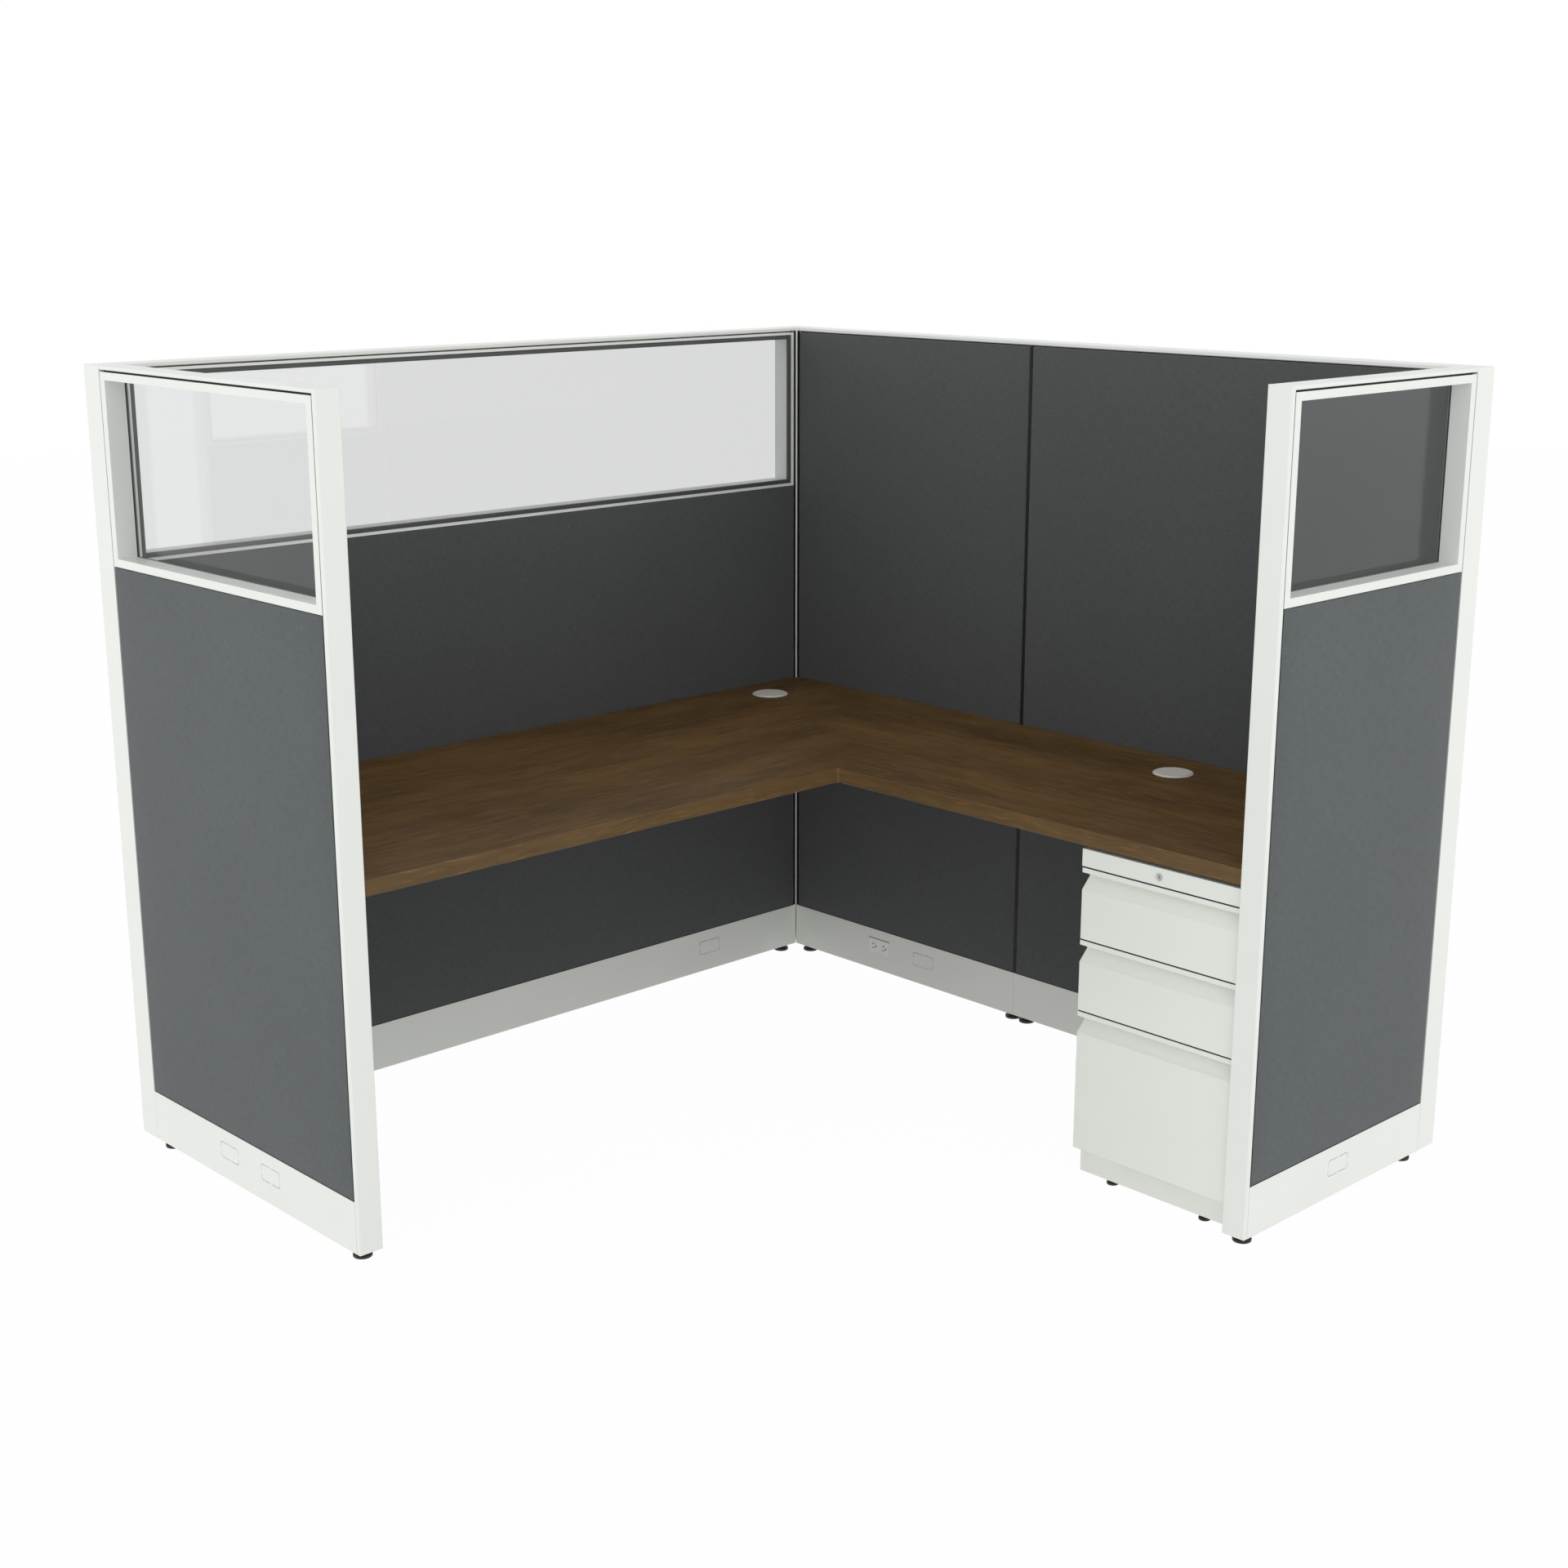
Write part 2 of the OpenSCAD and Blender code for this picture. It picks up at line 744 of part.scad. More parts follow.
module panel_glides() {
    on_side_wall() panel_glide_pair(side_module);
    on_back_wall(0) panel_glide_pair(short_module);
    on_back_wall(short_module) panel_glide_pair(long_module);
    on_left_wing() panel_glide_pair(short_module);
    on_right_wing() panel_glide_pair(wing_module);
}

// Worksurface

worksurface_x0 = panel_t + worksurface_gap;
worksurface_x1 = width - panel_t - worksurface_gap;
worksurface_y1 = depth - panel_t - worksurface_gap;
front_y = depth - right_run;
corner_notch = post_w + worksurface_gap;

// Outline of the L, drawn back by inset at its two front edges
module worksurface_outline(inset) {
    difference() {
        union() {
            translate([worksurface_x0, worksurface_x0])
                square([left_run - inset - worksurface_x0, worksurface_y1 - worksurface_x0]);
            translate([worksurface_x0, front_y + inset])
                square([worksurface_x1 - worksurface_x0, worksurface_y1 - front_y - inset]);
            difference() {
                translate([left_run - inset, front_y + inset - inner_corner_r]) square(inner_corner_r);
                translate([left_run - inset + inner_corner_r, front_y + inset - inner_corner_r])
                    circle(inner_corner_r);
            }
        }
        translate([0, 0]) square(corner_notch);
        translate([0, depth - corner_notch]) square(corner_notch);
        translate([width - corner_notch, depth - corner_notch]) square(corner_notch);
    }
}

grommet_z = worksurface_z - grommet_rebate;

module grommet_places() {
    for (g = [corner_grommet, right_grommet]) translate([g[0], depth - g[1], 0]) children();
}

module worksurface() {
    color(walnut) station() difference() {
        translate([0, 0, worksurface_low]) linear_extrude(worksurface_t) worksurface_outline(edge_band_t);
        grommet_places() {
            translate([0, 0, worksurface_low - over])
                cylinder(h = worksurface_t + 2 * over, d = grommet_hole_d);
            translate([0, 0, grommet_z]) cylinder(h = grommet_rebate + over, d = grommet_d + 2 * seat);
        }
    }
}

module edge_band() {
    color(walnut_edge) station() translate([0, 0, worksurface_low]) linear_extrude(worksurface_t) difference() {
        worksurface_outline(0);
        worksurface_outline(edge_band_t);
    }
}

// Angle under the worksurface: one leg on the tile's face, one leg under the top
module angle_bracket(u0, u1) {
    translate([u0, 0, 0]) along_u(u1 - u0) {
        translate([panel_t, worksurface_low - bracket_leg]) square([bracket_t, bracket_leg]);
        translate([panel_t, worksurface_low - bracket_t]) square([bracket_leg, bracket_t]);
    }
}

module cantilever() {
    reach = panel_t + cantilever_l;
    flat = cantilever_root_h / 3;
    translate([-bracket_t / 2, 0, 0]) along_u(bracket_t) polygon([
        [panel_t - tile_t, worksurface_low], [reach, worksurface_low],
        [reach, worksurface_low - cantilever_tip_h],
        [panel_t + flat, worksurface_low - cantilever_root_h],
        [panel_t - tile_t, worksurface_low - cantilever_root_h]
    ]);
    block([-cantilever_flange / 2, panel_t + bracket_leg, worksurface_low - bracket_t],
          [cantilever_flange / 2, reach, worksurface_low]);
}

module stiffener() {
    x = left_run - stiffener_inset;
    y0 = panel_t + stiffener_inset;
    y1 = front_y - bracket_leg;
    translate([x, y1, 0]) rotate([90, 0, 0]) linear_extrude(y1 - y0) {
        translate([0, worksurface_low - bracket_t]) square([stiffener_w, bracket_t]);
        for (s = [0, stiffener_w - bracket_t])
            translate([s, worksurface_low - stiffener_h]) square([bracket_t, stiffener_h]);
    }
}

// Strips that carry the worksurface on the pedestal's case
module pedestal_spacers() {
    for (y = [ped_y0 + spacer_inset, ped_y1 - spacer_inset - spacer_w])
        block([ped_x0 + spacer_inset, y, pedestal_h + seat],
              [ped_x1 - spacer_inset, y + spacer_w, worksurface_low]);
}

module worksurface_brackets() {
    wing_end = bracket_end_share * short_module;
    color(charcoal) {
        on_left_wing() angle_bracket(wing_end, short_module - wing_end);
        on_right_wing() angle_bracket(wing_end, wing_module - wing_end);
        on_side_wall() {
            angle_bracket((side_module - wall_bracket_l) / 2, (side_module + wall_bracket_l) / 2);
            angle_bracket(side_module - wing_end - wall_bracket_l, side_module - wing_end);
        }
        on_back_wall(0) angle_bracket(2 * wing_end, 2 * wing_end + wall_bracket_l);
        on_back_wall(short_module) cantilever();
        station() stiffener();
        station() pedestal_spacers();
    }
}

// Cable grommets: the flange lies in a shallow rebate, and the cap in the flange

cap_seat_d = grommet_d - 2 * grommet_rim;

module grommet_sleeve() {
    sleeve_d = grommet_hole_d - 2 * seat;
    color(shade_white) translate([0, 0, grommet_z]) rotate_extrude() difference() {
        union() {
            translate([0, -grommet_depth]) square([sleeve_d / 2, grommet_depth]);
            square([grommet_d / 2 - grommet_flange_t, grommet_flange_t]);
            intersection() {
                translate([grommet_d / 2 - grommet_flange_t, 0]) circle(grommet_flange_t);
                square(grommet_d);
            }
        }
        translate([-over, -grommet_depth - over])
            square([sleeve_d / 2 - grommet_wall + over, grommet_depth + grommet_flange_t + 2 * over]);
        translate([0, grommet_flange_t / 2]) square([cap_seat_d / 2, grommet_flange_t]);
    }
}

module grommet_cap(place) {
    cap_d = cap_seat_d - 2 * seat;
    low = grommet_z + grommet_flange_t / 2;
    color(shade_white) station() translate([place[0], depth - place[1], low]) rotate_extrude() {
        square([cap_d / 2 - grommet_flange_t / 2, grommet_cap_t - grommet_flange_t / 2]);
        intersection() {
            translate([cap_d / 2 - grommet_flange_t / 2, 0]) circle(grommet_flange_t / 2);
            square(cap_d);
        }
    }
}

// Pedestal case and plinth; the lock's hanger and guides are riveted into the case

module case_hanger() {
    y = ped_y1 - case_t - bar_back_gap - hanger_gap - hanger_t;
    difference() {
        block([ped_mid - hanger_w / 2, y, lock_z - lock_shaft_d],
              [ped_mid + hanger_w / 2, y + hanger_t, pedestal_h - case_t - seat]);
        translate([ped_mid, y - over, lock_z]) rotate([-90, 0, 0])
            cylinder(h = hanger_t + 2 * over, d = lock_shaft_d + 2 * run_gap);
    }
}

module bar_guides() {
    for (s = [-1, 1]) for (z = pedestal_h * bar_guide_heights_share)
        translate([ped_mid + s * (bar_w / 2 + seat + hanger_t / 2), bar_y, z])
            translate([-hanger_t / 2, 0, 0]) cube([hanger_t, bar_t + bar_back_gap - seat, hanger_w]);
}

module pedestal_case() {
    color(white) station() {
        difference() {
            block([ped_x0, case_y0, case_z], [ped_x1, ped_y1, pedestal_h]);
            block([ped_x0 + case_t, case_y0 - over, case_z + case_t],
                  [ped_x1 - case_t, ped_y1 - case_t, pedestal_h - case_t]);
        }
        case_hanger();
        bar_guides();
    }
}

module pedestal_plinth() {
    y0 = ped_y0 + plinth_setback;
    color(white) station() difference() {
        block([ped_x0, y0, plinth_z], [ped_x1, ped_y1, case_z]);
        block([ped_x0 + plinth_t, y0 + plinth_t, plinth_z + plinth_t],
              [ped_x1 - plinth_t, ped_y1 - plinth_t, case_z + over]);
        block([ped_x0 + plinth_flange, y0 + plinth_flange, plinth_z - over],
              [ped_x1 - plinth_flange, ped_y1 - plinth_flange, case_z]);
        pedestal_glide_places() translate([0, 0, plinth_z - over])
            cylinder(h = plinth_t + 2 * over, d = ped_glide_stem_d + 2 * run_gap);
    }
}

module pedestal_glide_places() {
    for (x = [ped_x0 + ped_glide_inset[0], ped_x1 - ped_glide_inset[0]])
        for (y = [ped_y0 + plinth_setback + ped_glide_inset[1], ped_y1 - ped_glide_inset[1]])
            translate([x, y, 0]) children();
}

module pedestal_glides() {
    station() pedestal_glide_places()
        glide(ped_glide_d, plinth_z / 2, plinth_z, ped_glide_stem_d, plinth_z + 2 * plinth_z);
}

// Front rail with the lock, open at the back like the sheet part it is
module lock_rail() {
    color(white) station() difference() {
        block([ped_x0, ped_y0, rail_z], [ped_x1, ped_y0 + front_t, pedestal_h]);
        block([ped_x0 + rail_skin, ped_y0 + rail_skin, rail_z + rail_skin],
              [ped_x1 - rail_skin, ped_y0 + front_t + over, pedestal_h - rail_skin]);
        translate([ped_mid, ped_y0 - over, lock_z]) rotate([-90, 0, 0])
            cylinder(h = rail_skin + 2 * over, d = lock_body_d + 2 * run_gap);
    }
}

// Drawer fronts: a formed sheet with the full-width pull below its top lip

module front_outline(height) {
    inner_r = (pull_depth - pull_lip) / 2;
    pull_top = height - pull_lip;
    difference() {
        square([front_t, height]);
        polygon([
            [-over, height - pull_h - over], [pull_depth, height - pull_h + pull_depth],
            [pull_depth, pull_top - inner_r], [-over, pull_top - inner_r]
        ]);
        translate([-over, pull_top - inner_r - over]) square([pull_depth - inner_r + over, inner_r + over]);
        translate([pull_depth - inner_r, pull_top - inner_r]) circle(inner_r);
    }
}

// The hollow between skin and liner, with the same wall along the slant
module front_hollow(height) {
    back = front_t - front_skin;
    polygon([
        [front_skin, front_skin], [back, front_skin],
        [back, height - pull_h + back - front_skin * (1 + sqrt(2))],
        [front_skin, height - pull_h - front_skin * (sqrt(2) - 1)]
    ]);
}

module drawer_front(index) {
    h = front_heights[index];
    w = pedestal_w - 2 * front_inset;
    color(white) station() translate([ped_x0 + front_inset, ped_y0, front_tops[index] - h]) difference() {
        along_u(w) front_outline(h);
        translate([front_skin, 0, 0]) along_u(w - 2 * front_skin) front_hollow(h);
        block([w * hem_slot_share, front_hem_slot, -over],
              [w * (1 - hem_slot_share), front_t - front_hem_slot, front_skin + over]);
    }
}

// Drawer boxes with the slides' inner members on their sides

function drawer_low(index) = front_tops[index] - front_heights[index] + drawer_rise;
function drawer_high(index) = front_tops[index] - drawer_drop;
function slide_z(index) = drawer_low(index) + slide_rise + slide_h / 2;

module at_left_slide(index) {
    translate([ped_x0 + case_t + seat / 2, case_y0 + slide_front_gap, slide_z(index)]) children();
}

module at_both_sides(index) {
    at_left_slide(index) children();
    translate([2 * ped_mid, 0, 0]) mirror([1, 0, 0]) at_left_slide(index) children();
}

module along_y(length) {
    translate([0, length, 0]) rotate([90, 0, 0]) linear_extrude(length) children();
}

// Channel with its web at x = web, flanges towards x = tip, half height h
module channel(web, tip, h) {
    low = min(web, tip);
    translate([web < tip ? web : web - slide_skin, -h]) square([slide_skin, 2 * h]);
    for (s = [-h, h - slide_skin]) translate([low, s]) square([abs(tip - web), slide_skin]);
}

case_member_tip = slide_t * case_member_share;
middle_h = slide_h / 2 - slide_skin - slide_play;
middle_web = slide_t * middle_web_share;
inner_h = middle_h - slide_skin - slide_play;

module case_slides() {
    color(steel) station() for (i = [0:2]) at_both_sides(i)
        along_y(slide_l) channel(0, case_member_tip, slide_h / 2);
}

module middle_slides(index) {
    color(steel) station() at_both_sides(index) along_y(slide_l) {
        channel(middle_web, slide_t - slide_skin - slide_play, middle_h);
        for (s = [-middle_h, middle_h - slide_skin])
            translate([slide_skin + slide_play, s]) square([middle_web, slide_skin]);
    }
}

// Catch riveted to the drawer's back, with a lip that hangs down behind the raised hook
module drawer_catch(index) {
    lip_y = catch_y() + catch_gap;
    high = catch_z(index) + catch_lip_h + catch_t;
    translate([ped_mid - hook_w / 2, 0, 0]) along_u(hook_w) {
        translate([drawer_y1 + seat, catch_z(index)]) square([catch_t, catch_lip_h + catch_t]);
        translate([drawer_y1 + seat, high - catch_t]) square([lip_y + catch_t - drawer_y1 - seat, catch_t]);
        translate([lip_y, catch_z(index)]) square([catch_t, catch_lip_h + catch_t]);
    }
}

function catch_y() = bar_y - hook_reach + catch_t;
function catch_z(index) = drawer_high(index) - catch_drop;

module drawer_box(index) {
    x0 = ped_x0 + drawer_side_x;
    x1 = ped_x1 - drawer_side_x;
    y0 = ped_y0 + front_t;
    low = drawer_low(index);
    high = drawer_high(index);
    color(shade_white) station() {
        difference() {
            block([x0, y0, low], [x1, drawer_y1, high]);
            block([x0 + drawer_wall, y0 + drawer_wall, low + drawer_wall],
                  [x1 - drawer_wall, drawer_y1 - drawer_wall, high + over]);
        }
    }
    color(steel) station() {
        drawer_catch(index);
        at_both_sides(index) along_y(slide_l) channel(slide_t, slide_t / 2, inner_h);
    }
}

module hang_rails(index) {
    x0 = ped_x0 + drawer_side_x;
    high = drawer_high(index);
    y0 = ped_y0 + front_t + hang_rail_h;
    y1 = drawer_y1 - hang_rail_h;
    color(steel) station() for (m = [0, 1]) translate([m * 2 * ped_mid, 0, 0]) mirror([m, 0, 0])
        translate([x0, y0, 0]) along_y(y1 - y0) {
            translate([-hang_rail_t, high]) square([2 * hang_rail_t + drawer_wall, hang_rail_t]);
            translate([drawer_wall, high - hang_rail_h]) square([hang_rail_t, hang_rail_h + hang_rail_t]);
            translate([drawer_wall, high - hang_rail_h]) square([hang_rail_h / 2, hang_rail_t]);
            translate([-hang_rail_t, high - hang_rail_t]) square([hang_rail_t, 2 * hang_rail_t]);
        }
}

// Lock: the plug's shaft runs to the back, where its crank lifts the lock bar

module lock_housing() {
    color(steel) station() translate([ped_mid, ped_y0 - lock_bezel_t, lock_z]) rotate([-90, 0, 0])
        difference() {
            union() {
                cylinder(h = lock_bezel_t, d = lock_d);
                cylinder(h = lock_bezel_t + lock_body_l, d = lock_body_d);
            }
            translate([0, 0, -over])
                cylinder(h = lock_bezel_t + lock_body_l + 2 * over, d = lock_plug_d + 2 * run_gap);
        }
}

crank_y = bar_y - lock_crank_t - bar_t / 2;

module lock_plug() {
    plug_y = ped_y0 - lock_bezel_t;
    arm = lock_pin_r;
    color(steel) station() translate([ped_mid, 0, lock_z]) {
        difference() {
            translate([0, plug_y, 0]) rotate([-90, 0, 0])
                cylinder(h = lock_bezel_t + lock_body_l, d = lock_plug_d);
            block([-lock_slot[0] / 2, plug_y - over, -lock_slot[1] / 2],
                  [lock_slot[0] / 2, plug_y + lock_slot_depth, lock_slot[1] / 2]);
        }
        translate([0, plug_y + lock_body_l, 0]) rotate([-90, 0, 0])
            cylinder(h = crank_y + lock_crank_t - plug_y - lock_body_l, d = lock_shaft_d);
        rotate([0, -lock_half_turn, 0]) {
            block([-arm, crank_y, -lock_shaft_d / 2], [0, crank_y + lock_crank_t, lock_shaft_d / 2]);
            translate([-arm, crank_y, 0]) rotate([-90, 0, 0]) cylinder(h = lock_crank_t, d = lock_shaft_d);
            translate([-arm, crank_y, 0]) rotate([-90, 0, 0])
                cylinder(h = bar_y + bar_t + over - crank_y, d = lock_pin_d);
        }
    }
}

// Hook riveted to the lock bar: foot, shelf and the tip that rises behind the catch's lip
module bar_hook(index) {
    top = catch_z(index) - hook_clear;
    back = bar_y - seat;
    translate([ped_mid - hook_w / 2, 0, 0]) along_u(hook_w) {
        translate([back - catch_t, top - hook_h - hook_foot_h]) square([catch_t, hook_foot_h + catch_t]);
        translate([bar_y - hook_reach, top - hook_h]) square([back - bar_y + hook_reach, catch_t]);
        translate([bar_y - hook_reach, top - hook_h]) square([catch_t, hook_h]);
    }
}

module lock_bar() {
    slot_h = lock_pin_d + 2 * lock_pin_play;
    pin_z = lock_z - lock_lift / 2;
    low = catch_z(2) - bar_head_h;
    x0 = ped_mid - bar_w / 2;
    color(steel) station() {
        difference() {
            block([x0, bar_y, low], [x0 + bar_w, bar_y + bar_t, pin_z + bar_head_h / 3]);
            block([ped_mid - lock_pin_r - lock_pin_d, bar_y - over, pin_z - slot_h / 2],
                  [ped_mid - lock_lift / 2 + lock_pin_d, bar_y + bar_t + over, pin_z + slot_h / 2]);
        }
        for (i = [0:2]) bar_hook(i);
    }
}

on_side_wall() panel_frame(side_module, true);  // side_frame
on_back_wall(0) panel_frame(short_module, false);  // back_short_frame
on_back_wall(short_module) panel_frame(long_module, false);  // back_long_frame
on_left_wing() panel_frame(short_module, true);  // left_wing_frame
on_right_wing() panel_frame(wing_module, true);  // right_wing_frame
on_side_wall() outer_tile(side_module, ring_z - tile_line);  // side_outer_tile
on_side_wall() inner_tile(side_module, ring_z - tile_line);  // side_inner_tile
union() {  // back_outer_tiles
    on_back_wall(0) outer_tile(short_module, tile_top, tile_gap, seam_half_gap);
    on_back_wall(short_module) outer_tile(long_module, tile_top, seam_half_gap, tile_gap);
}
on_back_wall(0) inner_tile(short_module, tile_top, tile_gap, seam_half_gap);  // back_short_tile
on_back_wall(short_module) inner_tile(long_module, tile_top, seam_half_gap, tile_gap);  // back_long_tile
on_left_wing() outer_tile(short_module, ring_z - tile_line);  // left_wing_outer_tile
on_left_wing() inner_tile(short_module, ring_z - tile_line);  // left_wing_inner_tile
on_right_wing() outer_tile(wing_module, ring_z - tile_line);  // right_wing_outer_tile
on_right_wing() inner_tile(wing_module, ring_z - tile_line);  // right_wing_inner_tile
on_side_wall() window_casings(side_module);  // side_window_casings
on_left_wing() window_casings(short_module);  // left_wing_window_casings
on_right_wing() window_casings(wing_module);  // right_wing_window_casings
on_side_wall() window_glass(side_module);  // side_glass
on_left_wing() window_glass(short_module);  // left_wing_glass
on_right_wing() window_glass(wing_module);  // right_wing_glass
union() {  // window_gaskets
    on_side_wall() window_gasket(side_module);
    on_left_wing() window_gasket(short_module);
    on_right_wing() window_gasket(wing_module);
}
on_side_wall() cap(side_module);  // side_cap
union() {  // back_caps
    on_back_wall(0) cap(short_module);
    on_back_wall(short_module) cap(long_module);
}
on_left_wing() cap(short_module);  // left_wing_cap
on_right_wing() cap(wing_module);  // right_wing_cap
on_posts() post_core();  // corner_posts
on_posts() post_cover();  // corner_covers
on_posts() inner_corner_trim();  // inner_corner_trims
on_posts() corner_seal();  // corner_seals
union() {  // end_trims
    on_left_wing() end_trim(short_module);
    on_right_wing() end_trim(wing_module);
}
panel_connectors();
outer_base_covers();
inner_base_covers();
raceway_carriers();
power_block();
receptacle();
panel_glides();
worksurface();
edge_band();
worksurface_brackets();
station() grommet_places() grommet_sleeve();  // grommet_sleeves
grommet_cap(corner_grommet);  // corner_grommet_cap
grommet_cap(right_grommet);  // right_grommet_cap
pedestal_case();
pedestal_plinth();
lock_rail();
case_slides();
drawer_front(0);  // upper_front
drawer_box(0);  // upper_drawer
middle_slides(0);  // upper_slides
drawer_front(1);  // middle_front
drawer_box(1);  // middle_drawer
middle_slides(1);
drawer_front(2);  // file_front
union() {  // file_drawer
    drawer_box(2);
    hang_rails(2);
}
middle_slides(2);  // file_slides
lock_housing();
lock_plug();
lock_bar();
pedestal_glides();
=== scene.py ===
"""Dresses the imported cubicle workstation: finishes, softened edges, small parts, light and camera.

Lengths are in metres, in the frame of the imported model: +X runs along the back wall, +Y along
the long side wall and +Z up, with the origin on the floor under the middle of the plan.
"""

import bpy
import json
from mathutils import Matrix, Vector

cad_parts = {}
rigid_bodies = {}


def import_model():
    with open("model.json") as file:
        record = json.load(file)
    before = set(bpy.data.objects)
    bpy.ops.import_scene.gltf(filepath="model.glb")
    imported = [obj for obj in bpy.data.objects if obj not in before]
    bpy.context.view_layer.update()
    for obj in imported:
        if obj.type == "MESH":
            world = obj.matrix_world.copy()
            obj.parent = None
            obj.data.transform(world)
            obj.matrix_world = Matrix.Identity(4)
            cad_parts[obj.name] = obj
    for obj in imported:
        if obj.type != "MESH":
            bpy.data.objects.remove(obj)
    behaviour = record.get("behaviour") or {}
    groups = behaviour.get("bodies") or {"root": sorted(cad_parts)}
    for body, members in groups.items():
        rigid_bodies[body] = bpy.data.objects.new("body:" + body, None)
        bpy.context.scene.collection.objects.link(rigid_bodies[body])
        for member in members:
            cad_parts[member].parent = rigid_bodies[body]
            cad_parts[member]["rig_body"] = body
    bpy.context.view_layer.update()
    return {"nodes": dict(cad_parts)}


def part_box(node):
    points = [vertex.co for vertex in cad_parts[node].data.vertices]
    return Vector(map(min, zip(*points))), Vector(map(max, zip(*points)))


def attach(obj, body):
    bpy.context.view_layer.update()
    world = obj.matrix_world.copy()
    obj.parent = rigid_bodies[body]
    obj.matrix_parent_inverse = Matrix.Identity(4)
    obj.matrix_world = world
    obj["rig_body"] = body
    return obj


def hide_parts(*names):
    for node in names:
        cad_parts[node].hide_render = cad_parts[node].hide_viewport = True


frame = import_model()

import json
import logging
import math
from dataclasses import dataclass, field
from enum import Enum
from functools import cache

import bmesh
import bpy
import numpy as np
from mathutils import Vector

LOG = logging.getLogger("workstation")
Colour = tuple[float, float, float]
Socket = bpy.types.NodeSocket
Value = Socket | float | int | tuple


def from_srgb(red: int, green: int, blue: int) -> Colour:
    """Turns a display colour into a linear one.

    Args:
        red: Red, 0 to 255.
        green: Green, 0 to 255.
        blue: Blue, 0 to 255.

    Returns:
        The linear colour, each part 0 to 1.
    """
    shares = np.array([red, green, blue]) / 255.0
    linear = np.where(shares <= 0.04045, shares / 12.92, ((shares + 0.055) / 1.055) ** 2.4)
    return tuple(float(x) for x in linear)


def box_of(node: str) -> np.ndarray:
    """The low and the high corner of a CAD node's box, to a thousandth of a millimetre."""
    return np.round(np.array([list(corner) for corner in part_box(node)]), 6)


# Half the plan, the thickness of the walls, the gap at a tile's end, a corner post's width with
# its joint, the thickness of the edge band and the worksurface's inner corner.
HALF = float(box_of("corner_covers")[1, 0])
PANEL = float(HALF + box_of("side_window_casings")[1, 0])
GAP = 0.002
POST = float(HALF + box_of("side_outer_tile")[0, 1] - GAP)
BAND = 0.002
INNER_CORNER = (float(box_of("edge_band")[0, 0] + BAND), float(box_of("edge_band")[1, 1] - BAND))


# Shader building


